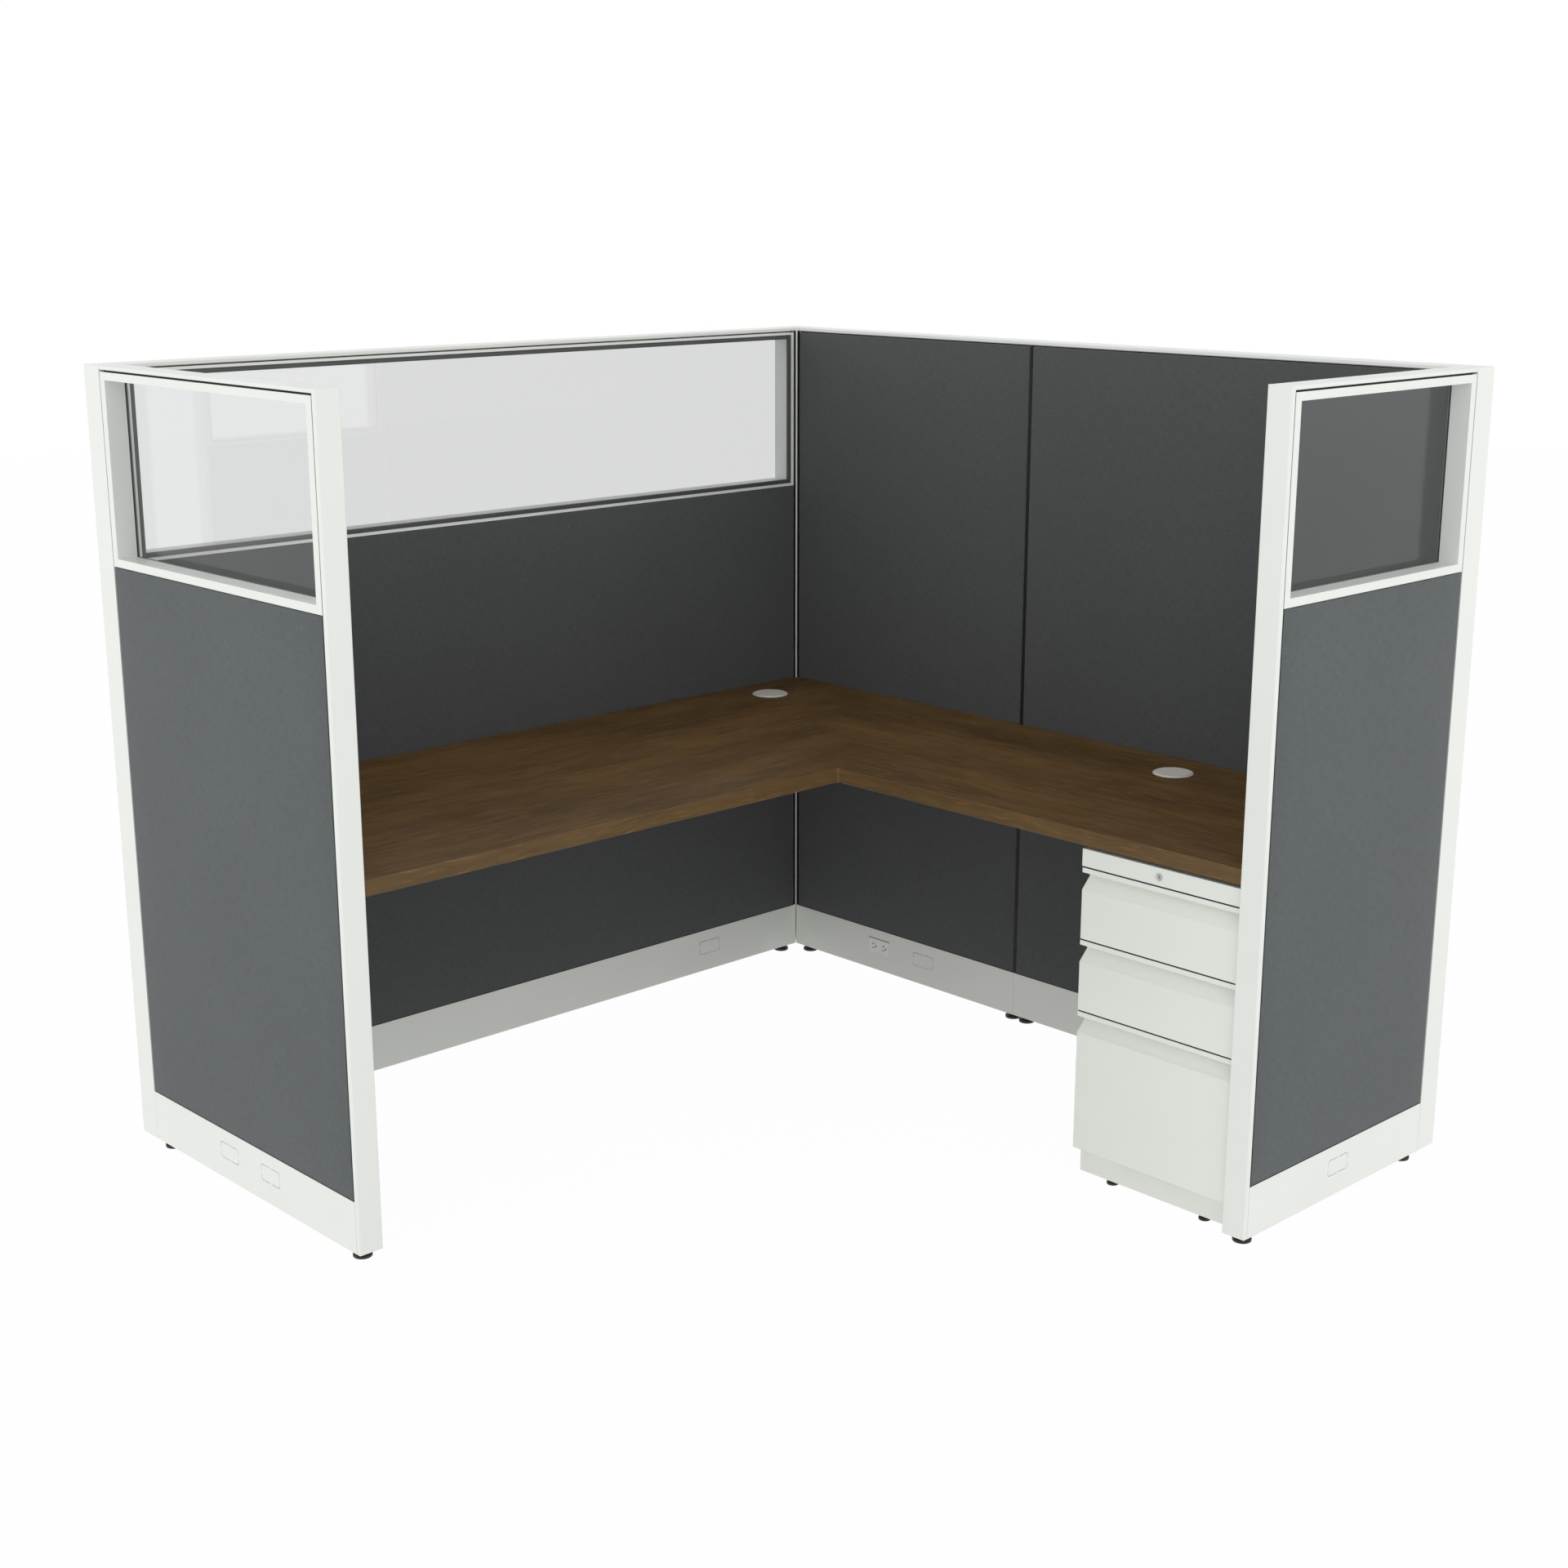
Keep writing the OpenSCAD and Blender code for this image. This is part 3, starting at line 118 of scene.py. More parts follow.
class ShaderTree:
    """Adds nodes to one shader tree and links them."""

    def __init__(self, tree: bpy.types.NodeTree) -> None:
        """Keeps the tree that the nodes go into."""
        self.tree = tree

    def add(self, kind: str, **settings: object) -> bpy.types.Node:
        """Adds a node.

        Args:
            kind: Blender's name of the node type.
            settings: Properties to set on the node.

        Returns:
            The new node.
        """
        node = self.tree.nodes.new(kind)
        for key, value in settings.items():
            setattr(node, key, value)
        return node

    def feed(self, socket: Socket, value: Value) -> None:
        """Links a socket to another one, or sets its own value.

        Args:
            socket: The input to feed.
            value: An output socket, or a plain value.
        """
        if isinstance(value, bpy.types.NodeSocket):
            self.tree.links.new(value, socket)
        elif socket.type == "RGBA":
            socket.default_value = (*value, 1.0)
        else:
            socket.default_value = value

    def math(self, operation: str, a: Value, b: Value = 0.0, clamp: bool = False) -> Socket:
        """Adds a Math node and returns its output.

        Args:
            operation: Blender's name of the operation.
            a: The first value.
            b: The second value.
            clamp: Whether the result is held to 0..1.

        Returns:
            The node's output.
        """
        node = self.add("ShaderNodeMath", operation=operation, use_clamp=clamp)
        self.feed(node.inputs[0], a)
        self.feed(node.inputs[1], b)
        return node.outputs[0]

    def times(self, a: Value, b: Value, clamp: bool = False) -> Socket:
        """The product of two values."""
        return self.math("MULTIPLY", a, b, clamp)

    def plus(self, a: Value, b: Value, clamp: bool = False) -> Socket:
        """The sum of two values."""
        return self.math("ADD", a, b, clamp)

    def less(self, a: Value, b: Value) -> Socket:
        """The first value less the second."""
        return self.math("SUBTRACT", a, b)

    def span(self, value: Value, low: float, high: float,
             to_low: float = 0.0, to_high: float = 1.0) -> Socket:
        """Maps a value from low..high to another span, smoothly and held at both ends.

        Args:
            value: The value to map.
            low: Start of its span.
            high: End of its span.
            to_low: What the start becomes.
            to_high: What the end becomes.

        Returns:
            The mapped value.
        """
        node = self.add("ShaderNodeMapRange", interpolation_type="SMOOTHSTEP")
        for name, number in zip(("Value", "From Min", "From Max", "To Min", "To Max"),
                                (value, low, high, to_low, to_high)):
            self.feed(node.inputs[name], number)
        return node.outputs["Result"]

    def mix(self, factor: Value, a: Value, b: Value) -> Socket:
        """Mixes two colours and returns the result.

        Args:
            factor: Share of the second colour.
            a: The first colour.
            b: The second colour.

        Returns:
            The mixed colour.
        """
        node = self.add("ShaderNodeMix", data_type="RGBA")
        self.feed(node.inputs[0], factor)
        self.feed(node.inputs[6], a)
        self.feed(node.inputs[7], b)
        return node.outputs[2]

    def mix_shaders(self, factor: Value, a: Socket, b: Socket, surface: Socket) -> None:
        """Mixes two shaders into an output's surface.

        Args:
            factor: Share of the second shader.
            a: The first shader.
            b: The second shader.
            surface: The input that takes the mix.
        """
        node = self.add("ShaderNodeMixShader")
        for socket, value in zip(node.inputs, (factor, a, b)):
            self.feed(socket, value)
        self.feed(surface, node.outputs[0])

    def stretched(self, vector: Value, scale: tuple[float, float, float]) -> Socket:
        """Stretches coordinates with a Mapping node.

        Args:
            vector: The coordinates.
            scale: Factors along x, y and z.

        Returns:
            The stretched coordinates.
        """
        node = self.add("ShaderNodeMapping")
        self.feed(node.inputs["Vector"], vector)
        node.inputs["Scale"].default_value = scale
        return node.outputs["Vector"]

    def noise(self, vector: Value, scale: float = 1.0, detail: float = 2.0,
              roughness: float = 0.5,
              stretch: tuple[float, float, float] | None = None) -> Socket:
        """Adds a Noise Texture, on stretched coordinates where asked, and returns its value.

        Args:
            vector: The coordinates.
            scale: How many blotches there are in a metre.
            detail: How many finer layers it has.
            roughness: How strong the finer layers are.
            stretch: Factors along x, y and z, if the noise is drawn out.

        Returns:
            The noise, about 0.5 in its middle.
        """
        node = self.add("ShaderNodeTexNoise")
        at = vector if stretch is None else self.stretched(vector, stretch)
        for name, value in (("Vector", at), ("Scale", scale), ("Detail", detail),
                            ("Roughness", roughness)):
            self.feed(node.inputs[name], value)
        return node.outputs["Fac"]

    def parts(self, vector: Value) -> tuple[Socket, Socket, Socket]:
        """Splits a vector into its x, y and z."""
        node = self.add("ShaderNodeSeparateXYZ")
        self.feed(node.inputs[0], vector)
        return node.outputs[0], node.outputs[1], node.outputs[2]

    def joined(self, x: Value, y: Value, z: Value) -> Socket:
        """Joins x, y and z into a vector.

        Args:
            x: The first part.
            y: The second part.
            z: The third part.

        Returns:
            The vector.
        """
        node = self.add("ShaderNodeCombineXYZ")
        for socket, value in zip(node.inputs, (x, y, z)):
            self.feed(socket, value)
        return node.outputs[0]

    def group(self, tree: bpy.types.NodeTree, **inputs: Value) -> bpy.types.Node:
        """Places a shared group.

        Args:
            tree: The group's tree.
            inputs: Values by input name, with an underscore for a space.

        Returns:
            The group node.
        """
        node = self.add("ShaderNodeGroup", node_tree=tree)
        for name, value in inputs.items():
            self.feed(node.inputs[name.replace("_", " ")], value)
        return node


class GroupBuilder(ShaderTree):
    """A shader node group with named inputs and outputs."""

    def __init__(self, name: str, inputs: dict[str, str], outputs: tuple[str, ...]) -> None:
        """Makes the group and its sockets.

        Args:
            name: The group's name.
            inputs: Socket type by input name.
            outputs: The outputs' names; each puts out a number.
        """
        tree = bpy.data.node_groups.new(name, "ShaderNodeTree")
        super().__init__(tree)
        for in_out, sockets in (("INPUT", inputs), ("OUTPUT", dict.fromkeys(outputs, "Float"))):
            for socket, kind in sockets.items():
                tree.interface.new_socket(socket, in_out=in_out, socket_type=f"NodeSocket{kind}")
        self.inlet = self.add("NodeGroupInput").outputs
        self.outlet = self.add("NodeGroupOutput").inputs


@cache
def weave_group() -> bpy.types.NodeTree:
    """Plain weave of warp and weft threads.

    The sign of sin(pi u / pitch) * sin(pi v / pitch) says which thread lies on top, and each
    thread's height is the absolute sine across it.

    Returns:
        A group that puts out Height.
    """
    g = GroupBuilder("panel_weave", {"Vector": "Vector", "Pitch": "Float"}, ("Height",))
    u, v, _ = g.parts(g.inlet["Vector"])
    turn = g.math("DIVIDE", math.pi, g.inlet["Pitch"])
    across_u = g.math("SINE", g.times(u, turn))
    across_v = g.math("SINE", g.times(v, turn))
    warp_on_top = g.math("GREATER_THAN", g.times(across_u, across_v), 0.0)
    warp = g.times(g.math("ABSOLUTE", across_u), warp_on_top)
    weft = g.times(g.math("ABSOLUTE", across_v), g.less(1.0, warp_on_top))
    g.feed(g.outlet["Height"], g.plus(warp, weft))
    return g.tree


@cache
def melange_group() -> bpy.types.NodeTree:
    """Yarn-to-yarn colour variation: noise drawn out along warp and weft, and a slow drift.

    Returns:
        A group that puts out Tone.
    """
    g = GroupBuilder("yarn_melange", {"Vector": "Vector"}, ("Tone",))
    vector = g.inlet["Vector"]
    warp = g.noise(vector, stretch=(900.0, 45.0, 1.0))
    weft = g.noise(vector, stretch=(45.0, 900.0, 1.0))
    drift = g.noise(vector, scale=3.0, detail=3.0)
    yarn_share, drift_share = 0.45, 0.1
    yarns = g.times(g.plus(warp, weft), yarn_share)
    g.feed(g.outlet["Tone"], g.plus(yarns, g.times(drift, drift_share)))
    return g.tree


@cache
def timber_group() -> bpy.types.NodeTree:
    """Straight-grained timber print, with x along the grain and y across it.

    Broad bands, short streaks and fine pores are noises stretched along x by growing shares,
    after a slow noise has bent the lines sideways.

    Returns:
        A group that puts out Tone and Fleck.
    """
    g = GroupBuilder("timber_grain", {"Vector": "Vector"}, ("Tone", "Fleck"))
    sway, band_share, streak_share, pore_share = 0.07, 0.5, 0.38, 0.12
    x, y, z = g.parts(g.inlet["Vector"])
    bend = g.noise(g.inlet["Vector"], stretch=(2.1, 3.2, 1.0))
    lines = g.joined(x, g.plus(y, g.times(g.less(bend, 0.5), sway)), z)
    bands = g.noise(lines, detail=4.0, roughness=0.6, stretch=(1.6, 7.0, 1.0))
    streaks = g.noise(lines, detail=4.0, roughness=0.68, stretch=(7.0, 85.0, 1.0))
    pores = g.noise(lines, roughness=0.6, stretch=(42.0, 700.0, 1.0))
    dashes = g.noise(lines, detail=1.0, stretch=(15.0, 210.0, 1.0))
    tone = g.plus(g.times(bands, band_share), g.times(streaks, streak_share))
    tone = g.plus(tone, g.times(pores, pore_share))
    g.feed(g.outlet["Tone"], g.span(tone, low=0.34, high=0.68))
    g.feed(g.outlet["Fleck"], g.span(dashes, low=0.61, high=0.70))
    return g.tree


@cache
def edge_wear_group() -> bpy.types.NodeTree:
    """Rubbed places on softened edges: the edge mask broken up by noise.

    Returns:
        A group that puts out Mask.
    """
    g = GroupBuilder("edge_wear", {"Vector": "Vector", "Edge": "Float", "Amount": "Float"},
                     ("Mask",))
    patches = g.noise(g.inlet["Vector"], scale=38.0, detail=4.0, roughness=0.65)
    worn = g.times(g.inlet["Edge"], g.span(patches, low=0.46, high=0.66))
    g.feed(g.outlet["Mask"], g.times(worn, g.inlet["Amount"], clamp=True))
    return g.tree


@cache
def dust_group() -> bpy.types.NodeTree:
    """Fine dust on faces that look up: how far they look up to a power, broken up by noise.

    Returns:
        A group that puts out Mask.
    """
    g = GroupBuilder("settled_dust", {"Vector": "Vector", "Up": "Float", "Amount": "Float"},
                     ("Mask",))
    steepness = 6.0
    lying = g.math("POWER", g.math("MAXIMUM", g.inlet["Up"], 0.0), steepness)
    patches = g.noise(g.inlet["Vector"], scale=9.0, detail=5.0, roughness=0.7)
    settled = g.times(lying, g.span(patches, low=0.35, high=0.75))
    g.feed(g.outlet["Mask"], g.times(settled, g.inlet["Amount"], clamp=True))
    return g.tree


@cache
def powder_group() -> bpy.types.NodeTree:
    """Skin of sprayed powder coat: a fine and a coarser ripple, and slow clouds in its gloss.

    Returns:
        A group that puts out Height and Cloud.
    """
    g = GroupBuilder("powder_skin", {"Vector": "Vector"}, ("Height", "Cloud"))
    vector = g.inlet["Vector"]
    fine_share, coarse_share = 0.45, 0.55
    fine = g.times(g.noise(vector, scale=1400.0), fine_share)
    coarse = g.times(g.noise(vector, scale=420.0, detail=1.0), coarse_share)
    g.feed(g.outlet["Height"], g.plus(fine, coarse))
    g.feed(g.outlet["Cloud"], g.noise(vector, scale=5.0, detail=4.0, roughness=0.6))
    return g.tree


@cache
def brushed_group() -> bpy.types.NodeTree:
    """Drawing marks of rolled steel: noise stretched along the long way of the strip.

    Returns:
        A group that puts out Streak and Spangle.
    """
    g = GroupBuilder("rolled_steel", {"Vector": "Vector"}, ("Streak", "Spangle"))
    vector = g.inlet["Vector"]
    g.feed(g.outlet["Streak"],
           g.noise(vector, detail=3.0, roughness=0.6, stretch=(700.0, 6.0, 700.0)))
    g.feed(g.outlet["Spangle"], g.noise(vector, scale=75.0, detail=3.0, roughness=0.6))
    return g.tree


@cache
def smear_group() -> bpy.types.NodeTree:
    """Faint smears and finger marks: a slow noise and a finer one, held to their upper parts.

    Returns:
        A group that puts out Mask.
    """
    g = GroupBuilder("smears", {"Vector": "Vector"}, ("Mask",))
    vector = g.inlet["Vector"]
    small_share = 0.5
    wide = g.noise(vector, scale=4.5, detail=5.0, roughness=0.6)
    small = g.noise(vector, scale=32.0, detail=4.0, roughness=0.6)
    marks = g.times(g.span(small, low=0.55, high=0.8), small_share)
    g.feed(g.outlet["Mask"], g.plus(g.span(wide, low=0.5, high=0.8), marks, clamp=True))
    return g.tree


class Surface(ShaderTree):
    """A material with one Principled shader, and the inputs that most finishes read."""

    def __init__(self, name: str) -> None:
        """Makes the material, its shader and its output.

        Args:
            name: The material's name.
        """
        self.material = bpy.data.materials.new(name)
        self.material.use_nodes = True
        super().__init__(self.material.node_tree)
        self.tree.nodes.clear()
        self.shader = self.add("ShaderNodeBsdfPrincipled")
        self.output = self.add("ShaderNodeOutputMaterial")
        self.tree.links.new(self.shader.outputs[0], self.output.inputs["Surface"])

    def object_vector(self) -> Socket:
        """Object coordinates."""
        return self.add("ShaderNodeTexCoord").outputs["Object"]

    def uv_vector(self) -> Socket:
        """The piece's own UV map."""
        return self.add("ShaderNodeUVMap", uv_map="surface").outputs["UV"]

    def edge(self) -> Socket:
        """The mask that softened pieces carry on their rounded edges."""
        return self.add("ShaderNodeAttribute", attribute_name="edge").outputs["Fac"]

    def up(self) -> Socket:
        """How far a face looks up."""
        return self.parts(self.add("ShaderNodeNewGeometry").outputs["Normal"])[2]

    def dust(self, vector: Socket, amount: float) -> Socket:
        """The mask of the dust that has settled."""
        return self.group(dust_group(), Vector=vector, Up=self.up(),
                          Amount=amount).outputs["Mask"]

    def bump(self, height: Socket, strength: float, distance: float) -> None:
        """Adds a bump to the shader's normal.

        Args:
            height: The relief.
            strength: How strongly it shows.
            distance: Its height in metres.
        """
        node = self.add("ShaderNodeBump")
        node.inputs["Strength"].default_value = strength
        node.inputs["Distance"].default_value = distance
        self.feed(node.inputs["Height"], height)
        self.feed(self.shader.inputs["Normal"], node.outputs["Normal"])

    def set(self, **values: Value) -> None:
        """Feeds the shader's inputs by name, with an underscore for a space."""
        for name, value in values.items():
            self.feed(self.shader.inputs[name.replace("_", " ")], value)


# Finishes

# Nearly all values of a noise lie in this span.
NOISE_SPAN = (0.3, 0.7)


def shaded(colour: Colour, share: float) -> Colour:
    """A colour darkened to a share of itself, or lightened by a share over one."""
    return tuple(part * share for part in colour)


@dataclass(frozen=True)
class Finish:
    """A named finish; each kind says in its dress method what its shader is fed."""

    name: str

    def dress(self, s: Surface) -> None:
        """Feeds the shader's inputs."""
        raise NotImplementedError


@cache
def material_of(finish: Finish) -> bpy.types.Material:
    """A finish's material, built once."""
    surface = Surface(finish.name)
    finish.dress(surface)
    return surface.material


@dataclass(frozen=True)
class PowderCoat(Finish):
    """Sprayed and baked coating on steel, satin, with rubbed edges and a little dust."""

    colour: Colour
    worn: Colour
    roughness: float = 0.42
    ripple: float = 0.12
    wear: float = 0.5
    dust: float = 0.10
    dust_colour: Colour = (0.42, 0.41, 0.39)
    cloud_shade: float = 0.955
    gloss_spread: tuple[float, float] = (-0.04, 0.05)
    ripple_height: float = 0.0004

    def dress(self, s: Surface) -> None:
        """Feeds the shader's inputs.

        Args:
            s: The surface that it dresses.
        """
        vector = s.object_vector()
        skin = s.group(powder_group(), Vector=vector)
        rubbed = s.group(edge_wear_group(), Vector=vector, Edge=s.edge(), Amount=self.wear)
        tinted = s.mix(skin.outputs["Cloud"], self.colour, shaded(self.colour, self.cloud_shade))
        worn = s.mix(rubbed.outputs["Mask"], tinted, self.worn)
        s.set(Base_Color=s.mix(s.dust(vector, self.dust), worn, self.dust_colour))
        low, high = (self.roughness + step for step in self.gloss_spread)
        s.set(Roughness=s.span(skin.outputs["Cloud"], *NOISE_SPAN, low, high))
        s.bump(skin.outputs["Height"], self.ripple, self.ripple_height)


@dataclass(frozen=True)
class PanelFabric(Finish):
    """Upholstery cloth of melange yarn in plain weave, on the piece's own UV map in metres."""

    dark: Colour
    light: Colour
    pitch: float = 0.0011
    hollow_shade: float = 0.5
    hollow_depth: float = 0.30
    lint: float = 0.06
    lint_colour: Colour = (0.40, 0.41, 0.41)
    roughness: tuple[float, float] = (0.84, 0.94)
    sheen: float = 0.22
    gloss: float = 0.25
    relief: tuple[float, float] = (0.55, 0.0003)

    def dress(self, s: Surface) -> None:
        """Feeds the shader's inputs.

        Args:
            s: The surface that it dresses.
        """
        vector = s.uv_vector()
        height = s.group(weave_group(), Vector=vector, Pitch=self.pitch).outputs["Height"]
        tone = s.group(melange_group(), Vector=vector).outputs["Tone"]
        yarn = s.mix(s.span(tone, low=0.38, high=0.64), self.dark, self.light)
        hollow = s.span(height, low=0.0, high=0.55, to_low=self.hollow_depth, to_high=0.0)
        cloth = s.mix(hollow, yarn, shaded(self.dark, self.hollow_shade))
        fluff = s.noise(vector, scale=210.0, roughness=0.4)
        lint = s.span(fluff, low=0.78, high=0.82, to_high=self.lint)
        s.set(Base_Color=s.mix(lint, cloth, self.lint_colour))
        s.set(Roughness=s.span(tone, *NOISE_SPAN, *self.roughness))
        s.set(Sheen_Weight=self.sheen, Sheen_Roughness=0.5, Specular_IOR_Level=self.gloss)
        s.bump(height, *self.relief)


class Grain(Enum):
    """Where a timber finish gets the direction of its grain."""

    TWO_RUNS = "along each run of the worksurface"
    OWN_UV = "along the piece's own UV map"


@dataclass(frozen=True)
class WalnutPrint(Finish):
    """Walnut laminate: bands, streaks and flecks under a satin skin."""

    grain: Grain
    dark: Colour
    light: Colour
    corner: tuple[float, float] = (0.0, 0.0)
    turn: float = 0.08
    raggedness: float = 0.35
    roughness: tuple[float, float] = (0.51, 0.41)
    gloss: float = 0.22
    fleck_shade: float = 1.3
    fleck_share: float = 0.5
    dust: float = 0.03
    dust_colour: Colour = (0.40, 0.38, 0.35)
    relief: tuple[float, float] = (0.12, 0.0002)

    def turned(self, s: Surface) -> tuple[Socket, Socket]:
        """Tone and fleck of the L: the grain turns over a soft band on the diagonal of the corner.

        The mask is the distance from the mitre line through the inner corner, smoothed over
        the turn on either side and broken up by a slow noise.

        Args:
            s: The surface that the nodes go into.

        Returns:
            The tone and the fleck mask.
        """
        x, y, _ = s.parts(s.object_vector())
        along_y = s.group(timber_group(), Vector=s.joined(y, x, 0.0))
        along_x = s.group(timber_group(), Vector=s.joined(x, y, 4.0))
        from_corner = s.plus(s.less(x, self.corner[0]), s.less(y, self.corner[1]))
        ragged = s.less(s.noise(s.object_vector(), scale=6.0, detail=3.0), 0.5)
        side = s.plus(from_corner, s.times(ragged, self.raggedness))
        right_run = s.span(side, -self.turn, self.turn)
        tone = s.mix(right_run, along_y.outputs["Tone"], along_x.outputs["Tone"])
        fleck = s.mix(right_run, along_y.outputs["Fleck"], along_x.outputs["Fleck"])
        return tone, fleck

    def dress(self, s: Surface) -> None:
        """Feeds the shader's inputs.

        Args:
            s: The surface that it dresses.
        """
        if self.grain is Grain.TWO_RUNS:
            tone, fleck = self.turned(s)
        else:
            laminate = s.group(timber_group(), Vector=s.uv_vector())
            tone, fleck = laminate.outputs["Tone"], laminate.outputs["Fleck"]
        wood = s.mix(tone, self.dark, self.light)
        light = shaded(self.light, self.fleck_shade)
        flecked = s.mix(s.times(fleck, self.fleck_share), wood, light)
        s.set(Base_Color=s.mix(s.dust(s.object_vector(), self.dust), flecked, self.dust_colour))
        s.set(Roughness=s.span(tone, 0.0, 1.0, *self.roughness))
        s.set(Specular_IOR_Level=self.gloss)
        s.bump(tone, *self.relief)


@dataclass(frozen=True)
class Moulded(Finish):
    """Moulded plastic or rubber with a fine grained skin."""

    colour: Colour
    roughness: float = 0.5
    skin: float = 0.2
    skin_height: float = 0.0003
    cloud_shade: float = 0.86
    gloss_spread: tuple[float, float] = (-0.05, 0.06)
    dust: float = 0.10
    dust_colour: Colour = (0.40, 0.39, 0.37)

    def dress(self, s: Surface) -> None:
        """Feeds the shader's inputs.

        Args:
            s: The surface that it dresses.
        """
        vector = s.object_vector()
        spark = s.noise(vector, scale=2100.0, roughness=0.55)
        cloud = s.noise(vector, scale=14.0, detail=4.0, roughness=0.6)
        toned = s.mix(cloud, self.colour, shaded(self.colour, self.cloud_shade))
        s.set(Base_Color=s.mix(s.dust(vector, self.dust), toned, self.dust_colour))
        low, high = (self.roughness + step for step in self.gloss_spread)
        s.set(Roughness=s.span(cloud, *NOISE_SPAN, low, high))
        s.bump(spark, self.skin, self.skin_height)


@dataclass(frozen=True)
class BareMetal(Finish):
    """Zinc-plated, rolled or chromed metal with drawing marks."""

    colour: Colour
    roughness: float
    marks: float
    mark_depth: float = 0.0002
    spangle_shade: float = 0.8
    smear_share: float = 0.2
    smear_colour: Colour = (0.30, 0.30, 0.29)
    gloss_spread: tuple[float, float] = (-0.06, 0.08)

    def dress(self, s: Surface) -> None:
        """Feeds the shader's inputs.

        Args:
            s: The surface that it dresses.
        """
        vector = s.object_vector()
        rolled = s.group(brushed_group(), Vector=vector)
        smear = s.group(smear_group(), Vector=vector).outputs["Mask"]
        spangled = shaded(self.colour, self.spangle_shade)
        toned = s.mix(rolled.outputs["Spangle"], self.colour, spangled)
        s.set(Base_Color=s.mix(s.times(smear, self.smear_share), toned, self.smear_colour))
        s.set(Metallic=1.0)
        low, high = (self.roughness + step for step in self.gloss_spread)
        s.set(Roughness=s.span(rolled.outputs["Streak"], *NOISE_SPAN, low, high))
        s.bump(rolled.outputs["Streak"], self.marks, self.mark_depth)


@dataclass(frozen=True)
class ClearGlass(Finish):
    """Tempered pane that lets light through to what stands behind it."""

    tint: Colour
    ior: float
    smeared: float = 0.004
    passed: Colour = (0.55, 0.56, 0.56)

    def dress(self, s: Surface) -> None:
        """Feeds the shader, and lets shadow and diffuse rays pass so that light gets in.

        Args:
            s: The surface that it dresses.
        """
        smear = s.group(smear_group(), Vector=s.object_vector())
        s.set(Base_Color=self.tint, Transmission_Weight=1.0, IOR=self.ior)
        s.set(Roughness=s.span(smear.outputs["Mask"], low=0.0, high=1.0, to_high=self.smeared))
        passing = s.add("ShaderNodeBsdfTransparent")
        s.feed(passing.inputs["Color"], self.passed)
        path = s.add("ShaderNodeLightPath")
        either = s.math("MAXIMUM", path.outputs["Is Shadow Ray"], path.outputs["Is Diffuse Ray"])
        s.mix_shaders(either, s.shader.outputs[0], passing.outputs[0], s.output.inputs["Surface"])


WORN_WHITE = (0.62, 0.63, 0.61)
TRIM_WHITE = PowderCoat("trim_white", from_srgb(238, 241, 236), WORN_WHITE)
PEDESTAL_WHITE = PowderCoat("pedestal_white", from_srgb(238, 241, 234), WORN_WHITE, roughness=0.38)
DRAWER_GREY = PowderCoat("drawer_grey", from_srgb(205, 207, 203), (0.45, 0.46, 0.45), 0.45)
FRAME_BLACK = PowderCoat("frame_black", from_srgb(42, 42, 43), (0.10, 0.10, 0.10), 0.5, wear=0.6)
OUTER_CLOTH = PanelFabric("outer_slate_cloth", from_srgb(78, 84, 85), from_srgb(95, 101, 102))
# The inner cloth is the outer slate cloth painted darker: painted shade for the inside of the bay,
# which lies in the walls' shade.
SHADED_INNER_CLOTH = PanelFabric("inner_cloth_painted_shade", from_srgb(75, 78, 78), from_srgb(88, 91, 91))
WALNUT_TOP = WalnutPrint("walnut_top", Grain.TWO_RUNS, dark=from_srgb(75, 54, 26),
                         light=from_srgb(118, 89, 49), corner=INNER_CORNER)
WALNUT_EDGE = WalnutPrint("walnut_edge", Grain.OWN_UV, dark=from_srgb(87, 67, 40),
                          light=from_srgb(115, 90, 56))
# Black rubber of the corner seals, and the finish of the dark strips of painted shade.
BLACK_RUBBER_AND_SHADE = Moulded("black_rubber", from_srgb(14, 14, 14), roughness=0.7)
# Black plastic of the power block and glides, and the finish of the dark socket and key-slot pieces
# of painted shade.
BLACK_PLASTIC_AND_SHADE = Moulded("black_plastic", from_srgb(20, 20, 21), roughness=0.42)
GASKET_GREY = Moulded("gasket_grey", from_srgb(82, 84, 84), roughness=0.55)
# The wing beads are the same grey rubber as the side wall's bead, painted lighter: painted light for
# how bright the wings' beads look.
LIGHTER_WING_GASKET = Moulded("wing_gasket_painted_lighter", from_srgb(112, 114, 112), roughness=0.55)
PALE_PLASTIC = Moulded("pale_plastic", from_srgb(236, 233, 224), roughness=0.42, skin=0.12)
OUTLET_WHITE = Moulded("outlet_white", from_srgb(250, 251, 247), roughness=0.3, skin=0.05)
ZINC = BareMetal("zinc_steel", (0.60, 0.61, 0.62), roughness=0.34, marks=0.15)
LOCK_CHROME = BareMetal("lock_chrome", (0.78, 0.78, 0.78), roughness=0.3, marks=0.05)
SIDE_PANE = ClearGlass("grey_window_glass", (0.75, 0.755, 0.755), ior=1.45)
WING_PANE = ClearGlass("clear_window_glass", (0.98, 0.985, 0.985), ior=1.26)


# Pieces


def paint(node: str, finish: Finish) -> None:
    """Gives a CAD node that stays as it is its finish.

    Args:
        node: The node's name.
        finish: Its finish.
    """
    mesh = frame["nodes"][node].data
    mesh.materials.clear()
    mesh.materials.append(material_of(finish))
    LOG.info("%s keeps its CAD shape, in %s", node, finish.name)


def body_of(node: str) -> str:
    """The body that a CAD node rides on."""
    return frame["nodes"][node]["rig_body"]


